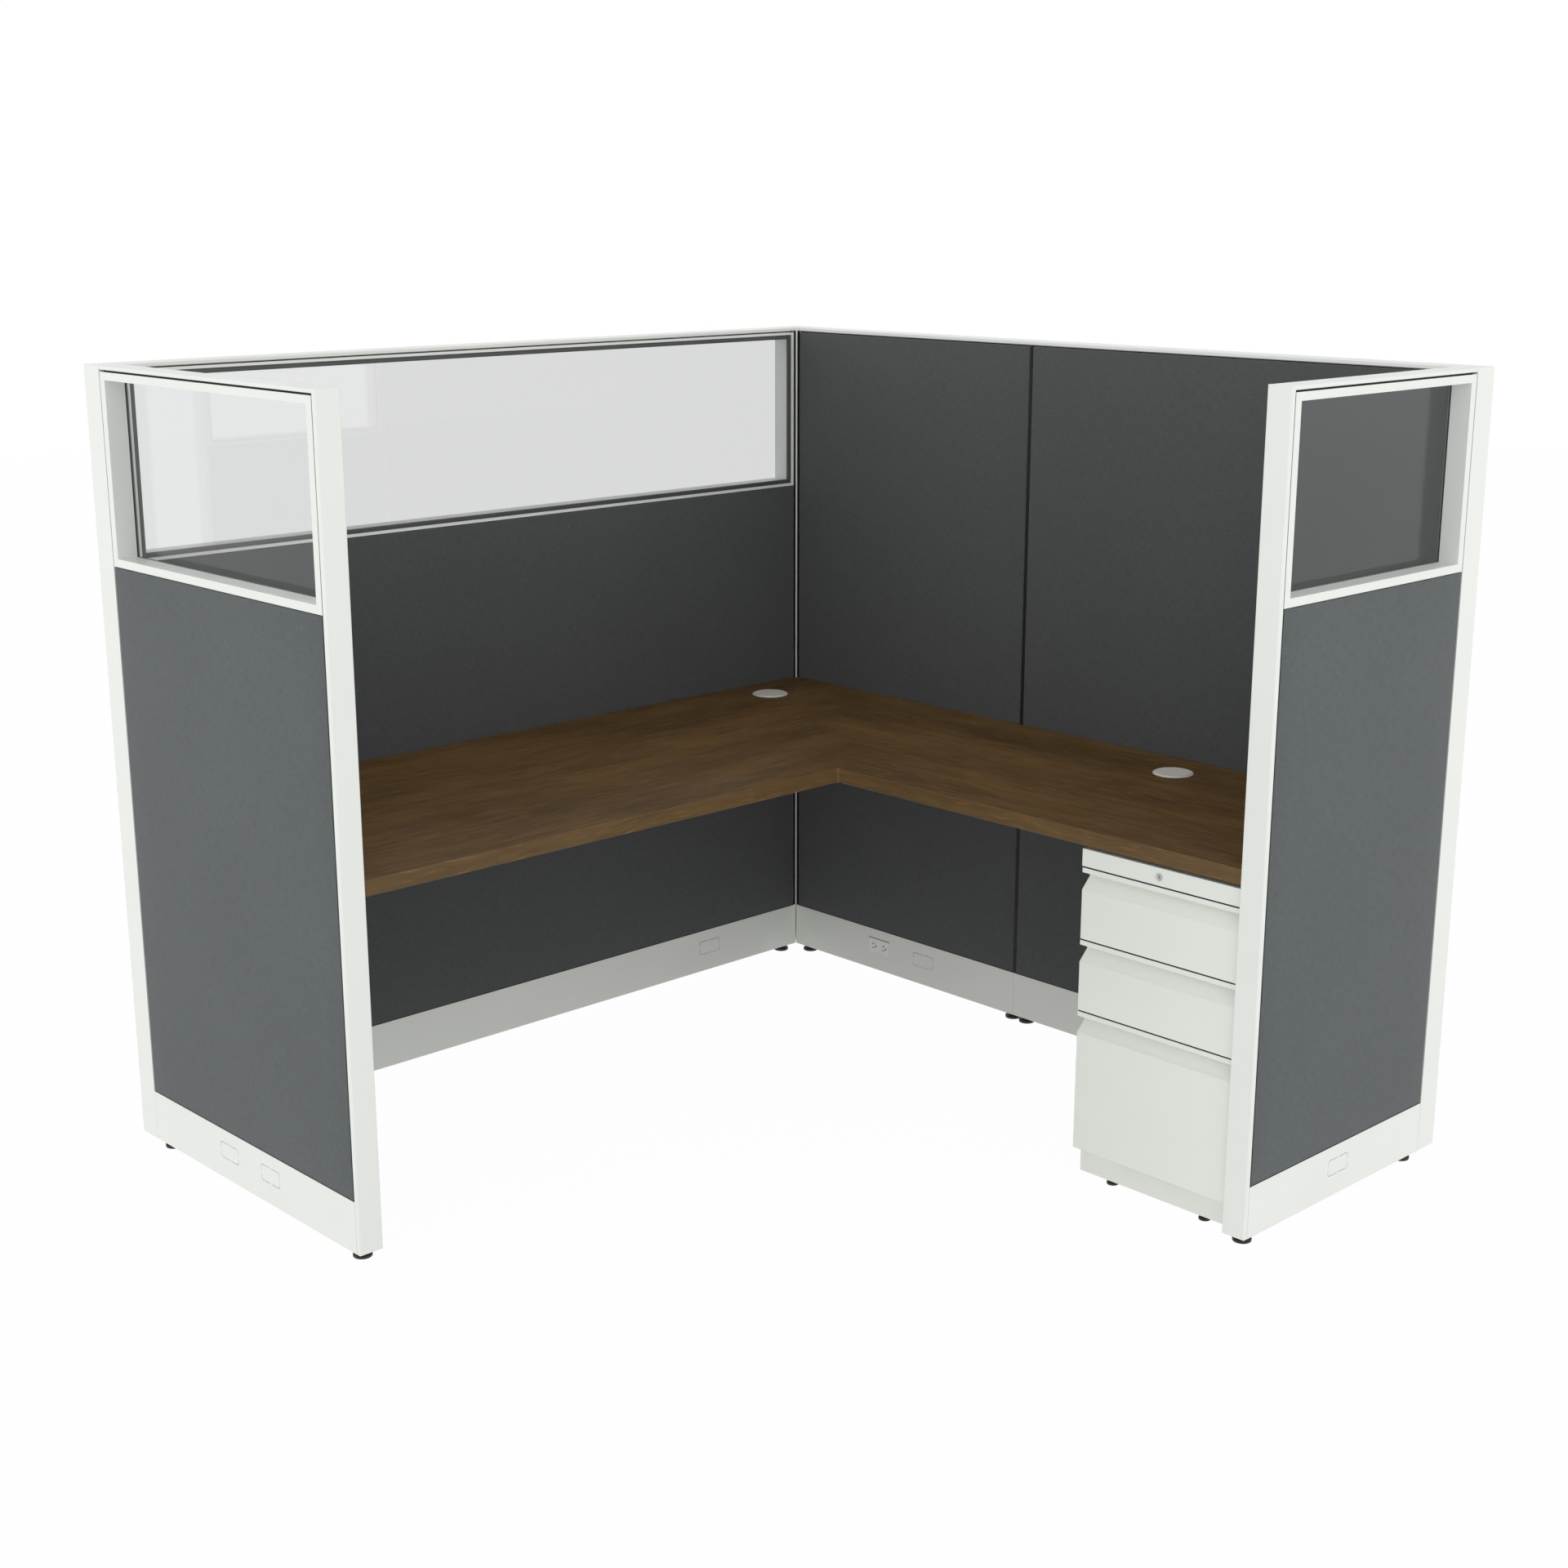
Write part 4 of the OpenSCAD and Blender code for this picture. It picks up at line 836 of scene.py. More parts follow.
def add_piece(name: str, mesh: bpy.types.Mesh, finishes: list[Finish], body: str,
              replaces: list[str]) -> bpy.types.Object:
    """Puts a mesh into the scene as a piece of the object.

    Args:
        name: The piece's name.
        mesh: Its mesh, in place.
        finishes: Its finishes, by material index.
        body: The body that it rides on.
        replaces: CAD nodes that it stands for.

    Returns:
        The new object.
    """
    piece = bpy.data.objects.new(name, mesh)
    bpy.context.scene.collection.objects.link(piece)
    for finish in finishes:
        mesh.materials.append(material_of(finish))
    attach(piece, body)
    if replaces:
        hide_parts(*replaces)
    LOG.info("%s: %d faces, in %s", name, len(mesh.polygons), ", ".join(f.name for f in finishes))
    return piece


def add_strip(name: str, mesh: bpy.types.Mesh, rides_with: str = "corner_seals",
              finish: Finish = BLACK_RUBBER_AND_SHADE) -> None:
    """Adds a thin dark piece that no CAD node holds: painted shade, put into a gap, joint or hollow
    where there is only shadow.

    Args:
        name: The piece's name.
        mesh: Its mesh, in place.
        rides_with: The CAD node whose body carries it.
        finish: Its finish.
    """
    add_piece(name, mesh, [finish], body_of(rides_with), [])


def smooth_up_to(shape: bmesh.types.BMesh, limit: float) -> None:
    """Makes a mesh's edges smooth where its faces turn by less than an angle, and hard elsewhere.

    Args:
        shape: The mesh, changed in place.
        limit: The angle.
    """
    for edge in shape.edges:
        turn = edge.calc_face_angle() if len(edge.link_faces) == 2 else math.pi
        edge.smooth = turn < limit


def closed_mesh(name: str, points: np.ndarray, faces: list,
                uv: np.ndarray | None = None) -> bpy.types.Mesh:
    """Makes a smooth, closed mesh whose faces look outwards.

    Args:
        name: The mesh's name.
        points: Vertices, one row each.
        faces: Vertex numbers of each face.
        uv: A UV coordinate for each vertex, in metres.

    Returns:
        The mesh.
    """
    mesh = bpy.data.meshes.new(name)
    mesh.from_pydata(points.tolist(), [], faces)
    if uv is not None:
        layer = mesh.uv_layers.new(name="surface")
        corners = np.zeros(len(mesh.loops), np.int32)
        mesh.loops.foreach_get("vertex_index", corners)
        layer.data.foreach_set("uv", uv[corners].astype(np.float32).ravel())
    shape = bmesh.new()
    shape.from_mesh(mesh)
    bmesh.ops.recalc_face_normals(shape, faces=shape.faces)
    smooth_up_to(shape, SMOOTH_OWN)
    shape.to_mesh(mesh)
    shape.free()
    mesh.polygons.foreach_set("use_smooth", np.ones(len(mesh.polygons), bool))
    mesh.update()
    return mesh


def grid_faces(rows: int, columns: int,
               wrap_rows: bool = False, wrap_columns: bool = False) -> list:
    """Faces of a grid of vertices that are numbered row by row.

    Args:
        rows: Number of rows.
        columns: Vertices in a row.
        wrap_rows: Whether the last row joins the first.
        wrap_columns: Whether each row closes on itself.

    Returns:
        Four vertex numbers for each face.
    """
    row, column = np.meshgrid(np.arange(rows if wrap_rows else rows - 1),
                              np.arange(columns if wrap_columns else columns - 1), indexing="ij")
    row_after, column_after = (row + 1) % rows, (column + 1) % columns
    corners = [row * columns + column, row * columns + column_after,
               row_after * columns + column_after, row_after * columns + column]
    return np.stack([c.ravel() for c in corners], axis=1).tolist()


def quarter_turn(count: int) -> np.ndarray:
    """Angles from 0 to 90 degrees in even steps."""
    return np.linspace(0, math.pi / 2, count)


def bar_section(width: float, depth: float, radius: float) -> np.ndarray:
    """Section of a flat bar whose two front corners are quarter circles.

    Places run from -width/2 to width/2 across and from 0 to depth outwards, and a corner's points
    are its centre plus radius times (cos a, sin a).

    Args:
        width: Width of the bar.
        depth: Depth from its back to its face.
        radius: Radius of the front corners.

    Returns:
        The closed outline, one point a row.
    """
    angle = quarter_turn(5)
    centre = np.array([width / 2 - radius, depth - radius])
    right = centre + radius * np.stack([np.cos(angle), np.sin(angle)], axis=1)
    left = right[::-1] * (-1, 1)
    return np.concatenate([[(width / 2, 0.0)], right, left, [(-width / 2, 0.0)]])


def carried(name: str, section: np.ndarray, ends: tuple,
            across: tuple | np.ndarray, out: tuple | np.ndarray) -> bpy.types.Mesh:
    """Carries a closed section straight from one point to another: p = end + s across + t out.

    Args:
        name: The mesh's name.
        section: The section's points (s, t).
        ends: The first and last place of the section's own origin.
        across: Direction of s.
        out: Direction of t.

    Returns:
        The closed mesh.
    """
    flat = section[:, :1] * np.array(across) + section[:, 1:] * np.array(out)
    points = np.concatenate([flat + np.array(end) for end in ends])
    n = len(section)
    faces = grid_faces(2, n, wrap_columns=True) + [list(range(n)), list(range(n, 2 * n))]
    return closed_mesh(name, points, faces)


class Edges(Enum):
    """Which edges of a copied node are softened, by the length that they have to be over."""

    LONG = 0.018
    ALL = 0.0


# How near two points are to be one, how little two faces turn to be one, and how much two faces
# turn for the edge between them to be rounded.
WELD = 2e-6
FLAT = math.radians(0.5)
SHARP = math.radians(50)
# Faces that turn by less than this shade as one, in a mesh of the scene's own and in a copy.
SMOOTH_OWN = math.radians(38)
SMOOTH_COPY = math.radians(46)


def soften(node: str, finish: Finish, radius: float, edges: Edges = Edges.LONG,
           second: Finish | None = None) -> bpy.types.Object:
    """Copies a CAD node and rounds its hard edges as pressed or moulded ones are.

    The copy's doubles are merged and its flat triangles dissolved, then each edge that turns by
    over 50 degrees and is long enough is rounded. The new faces carry 1 in the edge mask.

    Args:
        node: The CAD node.
        finish: The finish of the piece.
        radius: Radius of the rounding.
        edges: Which edges are rounded.
        second: The finish of the node's smaller separate solids, if they have one of their own.

    Returns:
        The new piece.
    """
    source = frame["nodes"][node]
    shape = bmesh.new()
    shape.from_mesh(source.data)
    bmesh.ops.remove_doubles(shape, verts=shape.verts, dist=WELD)
    bmesh.ops.dissolve_limit(shape, angle_limit=FLAT, verts=shape.verts, edges=shape.edges)
    hard = [e for e in shape.edges if len(e.link_faces) == 2
            and e.calc_face_angle() > SHARP and e.calc_length() > edges.value]
    mask = shape.faces.layers.float.new("edge")
    made = bmesh.ops.bevel(shape, geom=hard, offset=radius, offset_type="OFFSET", segments=2,
                           profile=0.5, affect="EDGES", clamp_overlap=True)
    for face in made["faces"]:
        face[mask] = 1.0
    for face in shape.faces:
        face.smooth = True
    smooth_up_to(shape, SMOOTH_COPY)
    if second is not None:
        mark_smaller_solids(shape)
    mesh = bpy.data.meshes.new(f"{node}_softened")
    shape.to_mesh(mesh)
    shape.free()
    finishes = [finish] if second is None else [finish, second]
    piece = add_piece(f"{node}_piece", mesh, finishes, body_of(node), [node])
    normals = piece.modifiers.new("face_weighted_normals", "WEIGHTED_NORMAL")
    normals.keep_sharp = True
    return piece


def mark_smaller_solids(shape: bmesh.types.BMesh) -> None:
    """Gives material 1 to every separate solid but the one with the largest box.

    Args:
        shape: The mesh, changed in place.
    """
    left, solids = set(shape.faces), []
    while left:
        solid, edge_of_growth = set(), [left.pop()]
        while edge_of_growth:
            face = edge_of_growth.pop()
            solid.add(face)
            near = {f for e in face.edges for f in e.link_faces if f in left}
            left -= near
            edge_of_growth.extend(near)
        solids.append(solid)

    def reach(solid: set) -> float:
        """The volume of a solid's box."""
        points = np.array([v.co for f in solid for v in f.verts])
        return float(np.prod(points.max(0) - points.min(0)))

    largest = max(solids, key=reach)
    for solid in solids:
        for face in solid:
            face.material_index = 0 if solid is largest else 1


# The four walls


@dataclass(frozen=True)
class Wall:
    """A straight wall: u runs along it from its post, and d goes in from its outer face."""

    origin: tuple[float, float]
    along: tuple[float, float]
    inward: tuple[float, float]

    def place(self, u: np.ndarray, d: np.ndarray, z: np.ndarray) -> np.ndarray:
        """Points of the model's frame: the origin plus u along the wall and d into it.

        Args:
            u: Places along the wall.
            d: Depths in from its outer face.
            z: Heights.

        Returns:
            The points, with x, y and z in the last axis.
        """
        u, d, z = np.broadcast_arrays(u, d, z)
        x = self.origin[0] + u * self.along[0] + d * self.inward[0]
        y = self.origin[1] + u * self.along[1] + d * self.inward[1]
        return np.stack([x, y, z], axis=-1)

    def out_of(self, inner: bool) -> np.ndarray:
        """The way out of the wall's inner or outer face."""
        return np.array((*self.inward, 0.0)) * (1 if inner else -1)

    def ends_of(self, node: str, way: tuple[float, float]) -> tuple[float, float]:
        """Where a CAD node starts and ends along the wall, or into it."""
        places = (box_of(node)[:, :2] - self.origin) @ np.array(way)
        return float(places.min()), float(places.max())


SIDE_WALL = Wall((-HALF, -HALF + POST), (0, 1), (1, 0))
BACK_WALL = Wall((-HALF + POST, HALF), (1, 0), (0, -1))
LEFT_WING = Wall((-HALF + POST, -HALF), (1, 0), (0, 1))
RIGHT_WING = Wall((HALF, HALF - POST), (0, -1), (-1, 0))
GLAZED = {"side": SIDE_WALL, "left_wing": LEFT_WING, "right_wing": RIGHT_WING}


@dataclass(frozen=True)
class TileSpan:
    """Where one fabric tile lies on its wall."""

    name: str
    node: str
    wall: Wall
    start: float
    end: float
    high: float
    inner: bool

    @classmethod
    def of(cls, name: str, node: str, wall: Wall, inner: bool, like: str = "") -> "TileSpan":
        """Reads a tile's place from the box of its CAD node.

        Args:
            name: The tile's name.
            node: The CAD node that it stands for.
            wall: Its wall.
            inner: Whether it lies on the inner face.
            like: A node of the same span, where its own holds more tiles than one.

        Returns:
            The tile's place.
        """
        start, end = wall.ends_of(like or node, wall.along)
        return cls(name, node, wall, start, end, float(box_of(node)[1, 2]), inner)


@dataclass
class FabricTiles:
    """The fabric tiles on both faces of the walls."""

    thickness: float = float(np.ptp(box_of("side_outer_tile")[:, 0]))
    radius: float = 0.003
    low: float = float(box_of("side_outer_tile")[0, 2])
    seam_sink: float = 0.0009
    strip_gap: float = 0.0003
    foot_room: float = low - float(box_of("outer_base_covers")[1, 2])
    foot_gap: float = 0.0001
    foot_sink: float = 0.0005
    arc: int = 6
    flat: int = 10

    def below_window(self, name: str) -> list[TileSpan]:
        """Both tiles of a glazed wall."""
        return [TileSpan.of(f"{name}_{side}", f"{name}_{side}_tile", GLAZED[name], side == "inner")
                for side in ("outer", "inner")]

    def on_back(self, side: str) -> list[TileSpan]:
        """The two tiles on one face of the back wall; one node holds both outer tiles.

        Args:
            side: The face, inner or outer.

        Returns:
            The tile of the short module, then that of the long one.
        """
        made = []
        for name in ("short", "long"):
            own = f"back_{name}_tile"
            node = own if side == "inner" else "back_outer_tiles"
            made.append(TileSpan.of(f"back_{name}_{side}", node, BACK_WALL, side == "inner", own))
        return made

    def spans(self) -> list[TileSpan]:
        """Every tile's place: the long side wall, the back wall, then the wings."""
        return [*self.below_window("side"), *self.on_back("outer"), *self.on_back("inner"),
                *self.below_window("left_wing"), *self.below_window("right_wing")]

    def wrap(self, length: float) -> tuple[np.ndarray, np.ndarray, np.ndarray]:
        """The line of the cloth across a tile: up a side, round its edge, across and down again.

        On the arc the place is r (1 - cos a) and the lift 1 - r / t (1 - sin a), for a from 0 to
        90 degrees; the far side is its mirror image.

        Args:
            length: The tile's length this way.

        Returns:
            Place along the length, lift from 0 at the back to 1 at the front, and cloth length.
        """
        angle = quarter_turn(self.arc)
        place = np.concatenate([[0.0], self.radius * (1 - np.cos(angle))])
        lift = np.concatenate([[0.0], 1 - self.radius / self.thickness * (1 - np.sin(angle))])
        middle = np.linspace(self.radius, length - self.radius, self.flat + 2)[1:-1]
        places = np.concatenate([place, middle, length - place[::-1]])
        lifts = np.concatenate([lift, np.ones(self.flat), lift[::-1]])
        steps = np.hypot(np.diff(places), np.diff(lifts) * self.thickness)
        return places, lifts, np.concatenate([[0.0], np.cumsum(steps)])

    def mesh(self, span: TileSpan) -> bpy.types.Mesh:
        """One tile: the depth behind its face is t (1 - lift along u * lift along z).

        Args:
            span: Where the tile lies.

        Returns:
            The closed mesh, with its UV map in metres of cloth.
        """
        u, lift_u, cloth_u = self.wrap(span.end - span.start)
        z, lift_z, cloth_z = self.wrap(span.high - self.low)
        depth = self.thickness * (1 - lift_u[:, None] * lift_z[None, :])
        d = PANEL - depth if span.inner else depth
        points = span.wall.place((span.start + u)[:, None], d, (self.low + z)[None, :])
        uv = np.stack(np.broadcast_arrays(cloth_u[:, None], cloth_z[None, :]), axis=-1)
        rows, columns = len(u), len(z)
        number = np.arange(rows * columns).reshape(rows, columns)
        ring = np.concatenate([number[:-1, 0], number[-1, :-1],
                               number[:0:-1, -1], number[0, :0:-1]])
        faces = grid_faces(rows, columns) + [ring.tolist()]
        return closed_mesh(span.name, points.reshape(-1, 3), faces, uv.reshape(-1, 2))

    def seam_shade_strip(self, inner: bool) -> bpy.types.Mesh:
        """The black strip in the joint of the back modules, set back from the cloth: painted shade,
        a dark piece that stands in for the shadow down the joint.

        Args:
            inner: Whether it lies on the inner face.

        Returns:
            The strip's mesh, as wide as the joint less a gap on either side.
        """
        first = BACK_WALL.ends_of("back_short_tile", BACK_WALL.along)[1]
        second = BACK_WALL.ends_of("back_long_tile", BACK_WALL.along)[0]
        top = float(box_of("back_short_tile")[1, 2])
        behind = self.thickness - self.strip_gap
        back = PANEL - behind if inner else behind
        ends = tuple(BACK_WALL.place((first + second) / 2, back, z) for z in (self.low, top))
        section = bar_section(second - first - 2 * self.strip_gap, behind - self.seam_sink,
                              self.seam_sink / 2)
        return carried("seam_shade_strip", section, ends, (*BACK_WALL.along, 0.0),
                       BACK_WALL.out_of(inner))

    def strip_section(self, room: float) -> np.ndarray:
        """Section of the black strip in the joint beside a tile's rounded edge, painted shade that
        stands in for the shadow in that joint.

        It has a flat front, set back from the cloth, and beside that an arc about the centre of
        the tile's own rounding, so that it stands off the cloth by the same gap.

        Args:
            room: Width of the joint.

        Returns:
            The closed outline: place from the joint's far side, and height over the cloth.
        """
        reach = self.radius + self.foot_gap
        last = math.asin((self.radius - self.foot_sink) / reach)
        angle = np.linspace(last, 0.0, 6)
        place = self.radius + room - reach * np.cos(angle)
        height = reach * np.sin(angle) - self.radius
        back = -self.thickness / 2
        return np.concatenate([[[self.foot_gap, back], [self.foot_gap, -self.foot_sink]],
                               np.stack([place, height], axis=1), [[place[-1], back]]])

    def foot_shade_strip(self, span: TileSpan) -> bpy.types.Mesh:
        """The dark strip between a tile's foot and the base cover below it: painted shade for the
        shadow in that gap.

        Args:
            span: Where the tile lies.

        Returns:
            The strip's mesh.
        """
        face, foot = PANEL if span.inner else 0.0, self.low - self.foot_room
        ends = tuple(span.wall.place(u, face, foot) for u in (span.start, span.end))
        return carried("foot_shade_strip", self.strip_section(self.foot_room), ends, (0, 0, 1),
                       span.wall.out_of(span.inner))

    def end_shade_strip(self, span: TileSpan) -> bpy.types.Mesh:
        """The dark strip between a wing's tile and the end trim beside it: painted shade for the
        shadow in that gap.

        Args:
            span: Where the tile lies.

        Returns:
            The strip's mesh.
        """
        face, end = PANEL if span.inner else 0.0, span.end + GAP
        ends = tuple(span.wall.place(end, face, z) for z in (self.low, span.high))
        to_tile = -np.array((*span.wall.along, 0.0))
        return carried("end_shade_strip", self.strip_section(GAP), ends, to_tile,
                       span.wall.out_of(span.inner))

    def build(self) -> None:
        """Makes every tile in cloth, and the dark strips of painted shade in the seam, below and
        beside the tiles.
        """
        for side in ("inner", "outer"):
            add_strip(f"back_seam_{side}_strip", self.seam_shade_strip(side == "inner"))
        for span in self.spans():
            cloth = SHADED_INNER_CLOTH if span.inner else OUTER_CLOTH
            add_piece(f"{span.name}_cloth", self.mesh(span), [cloth], body_of(span.node),
                      [span.node])
            add_strip(f"{span.name}_foot_shade_strip", self.foot_shade_strip(span))
            if span.wall in (LEFT_WING, RIGHT_WING):
                add_strip(f"{span.name}_end_shade_strip", self.end_shade_strip(span))


@dataclass
class Windows:
    """Casings, panes and the rubber beads that hold them."""

    bite: float = 0.008
    bead_width: float = 0.0097
    bead_gap: float = 0.00015
    bead_thickness: float = 0.0033
    lip: tuple[float, float] = (0.22, 0.45)
    flange_out: tuple[float, ...] = (0.62, 0.68, 0.74, 1.0, 1.0)
    flange_up: tuple[float, ...] = (1.0, 0.94, 0.72, 0.66, 0.0)
    casing_radius: float = 0.0006
    finishes: dict[str, tuple[Finish, Finish]] = field(default_factory=lambda: {
        "side": (SIDE_PANE, GASKET_GREY),
        "left_wing": (WING_PANE, LIGHTER_WING_GASKET),
        "right_wing": (WING_PANE, LIGHTER_WING_GASKET),
    })

    def bead_profile(self) -> tuple[np.ndarray, np.ndarray]:
        """The bead's section: a lip rounded by a quarter ellipse, a flat and a lower flange.

        Returns:
            Distance out from the opening's edge and height over the pane, as shares.
        """
        angle = quarter_turn(7)
        reach, start = self.lip
        rise = start + (1 - start) * np.sin(angle)
        out = np.concatenate([[0.0], reach * (1 - np.cos(angle)), self.flange_out])
        return out, np.concatenate([[0.0], rise, self.flange_up])

    def bead(self, wall: Wall, pane: str) -> tuple[np.ndarray, list]:
        """The section carried round the window, with mitred corners.

        The opening is the pane's box less the pane's bite in its rebate.

        Args:
            wall: The window's wall.
            pane: The CAD node of its pane.

        Returns:
            Points and faces.
        """
        start, end = wall.ends_of(pane, wall.along)
        sill, head = box_of(pane)[:, 2] + (self.bite, -self.bite)
        out, up = self.bead_profile()
        reach = (out * self.bead_width)[None, :]
        side_u = np.array([-1, 1, 1, -1])[:, None]
        side_z = np.array([-1, -1, 1, 1])[:, None]
        u = np.where(side_u < 0, start + self.bite - reach, end - self.bite + reach)
        z = np.where(side_z < 0, sill - reach, head + reach)
        on_pane = wall.ends_of(pane, wall.inward)[1] + self.bead_gap
        points = wall.place(u, on_pane + (up * self.bead_thickness)[None, :], z).reshape(-1, 3)
        return points, grid_faces(4, len(out), wrap_rows=True, wrap_columns=True)

    def build(self) -> None:
        """Makes the beads and dresses casings and panes."""
        for name, wall in GLAZED.items():
            glass, rubber = self.finishes[name]
            soften(f"{name}_window_casings", TRIM_WHITE, self.casing_radius)
            paint(f"{name}_glass", glass)
            points, faces = self.bead(wall, f"{name}_glass")
            add_piece(f"{name}_window_bead", closed_mesh(f"{name}_bead", points, faces), [rubber],
                      body_of("window_gaskets"), ["window_gaskets"])


@dataclass
class WallTrim:
    """Caps, posts, end trims and seals of the walls, and the steel inside them."""

    post_radius: float = 0.0012
    tip_radius: float = 0.0005

    def build(self) -> None:
        """Softens the posts and dresses the rest."""
        for cap in ("side_cap", "back_caps", "left_wing_cap", "right_wing_cap", "end_trims"):
            paint(cap, TRIM_WHITE)
        soften("corner_covers", TRIM_WHITE, self.post_radius)
        soften("inner_corner_trims", TRIM_WHITE, self.tip_radius)
        paint("corner_seals", BLACK_RUBBER_AND_SHADE)
        paint("corner_posts", ZINC)
        paint("panel_connectors", ZINC)
        for wall in ("side", "back_short", "back_long", "left_wing", "right_wing"):
            paint(f"{wall}_frame", FRAME_BLACK)


@dataclass
class Raceway:
    """Base covers, carriers, power block, receptacle and the glides below."""

    bend: float = 0.0009
    pitch: float = 0.036
    slot_pitch: float = 0.011
    slot: tuple[float, float] = (0.0083, 0.002)
    slot_shift: float = -0.0025
    hole: tuple[float, float] = (0.00675, 0.0044)
    under: float = 0.0004
    # Size of the dark strip of painted shade over the receptacle: width, how far it stands proud,
    # height.
    lip: tuple[float, float, float] = (0.073, 0.0005, 0.0014)
    lip_gap: float = 0.0003
    outlet_radius: float = 0.0006

    def outlet(self) -> tuple[float, float, float]:
        """The receptacle's middle along the back wall, its face's depth and its middle's height."""
        start, end = BACK_WALL.ends_of("receptacle", BACK_WALL.along)
        face = BACK_WALL.ends_of("receptacle", BACK_WALL.inward)[1]
        return (start + end) / 2, face, float(box_of("receptacle")[:, 2].mean())

    def slot_shades(self) -> bpy.types.Mesh:
        """Dark prisms in the two sockets, one in each slot and earth hole: painted shade for the
        dark inside of the hollows.

        A prism's outline is its half width times (cos a, sin a) with every sixth of a turn,
        squeezed to the slot's height, and it runs back from just under the face.

        Returns:
            The mesh of six closed prisms.
        """
        u0, face, z0 = self.outlet()
        points, faces = [], []
        for socket in (-0.5, 0.5):
            middle = u0 + socket * self.pitch
            places = [(self.slot_shift, side * self.slot_pitch / 2, *self.slot) for side in (-1, 1)]
            for du, dz, wide, high in [*places, (self.hole[0], 0.0, self.hole[1], self.hole[1])]:
                angle = np.radians(np.arange(6) * 60)
                u = middle + du + wide / 2 * np.cos(angle)
                z = z0 + dz + high / 2 * np.sin(angle)
                start = len(points) * len(angle)
                for d in (face - 4 * self.under, face - self.under):
                    points.append(BACK_WALL.place(u, d, z))
                faces += (np.array(grid_faces(2, 6, wrap_columns=True)) + start).tolist()
                faces += [[start + i for i in range(6)], [start + 6 + i for i in range(6)]]
        return closed_mesh("slot_shades", np.concatenate(points), faces)

    def outlet_shade_lip(self) -> bpy.types.Mesh:
        """The soft black strip over the receptacle, along the top of its cut-out: painted shade for
        the shadow line above the plate.

        Returns:
            The lip's mesh.
        """
        wide, proud, high = self.lip
        u0, _, _ = self.outlet()
        middle = float(box_of("receptacle")[1, 2]) + self.lip_gap + high / 2
        ends = tuple(BACK_WALL.place(u0 + side * wide / 2, PANEL, middle) for side in (-1, 1))
        return carried("outlet_shade_lip", bar_section(high, proud, proud / 2), ends, (0, 0, 1),
                       BACK_WALL.out_of(True))

    def build(self) -> None:
        """Softens the pressed covers and dresses the rest."""
        add_strip("receptacle_contacts", self.slot_shades(), "receptacle", BLACK_PLASTIC_AND_SHADE)
        add_strip("receptacle_shade_lip", self.outlet_shade_lip(), "receptacle")
        soften("outer_base_covers", TRIM_WHITE, self.bend)
        soften("inner_base_covers", TRIM_WHITE, self.bend)
        soften("receptacle", OUTLET_WHITE, self.outlet_radius)
        paint("raceway_carriers", ZINC)
        paint("power_block", BLACK_PLASTIC_AND_SHADE)
        paint("panel_glides", BLACK_PLASTIC_AND_SHADE)


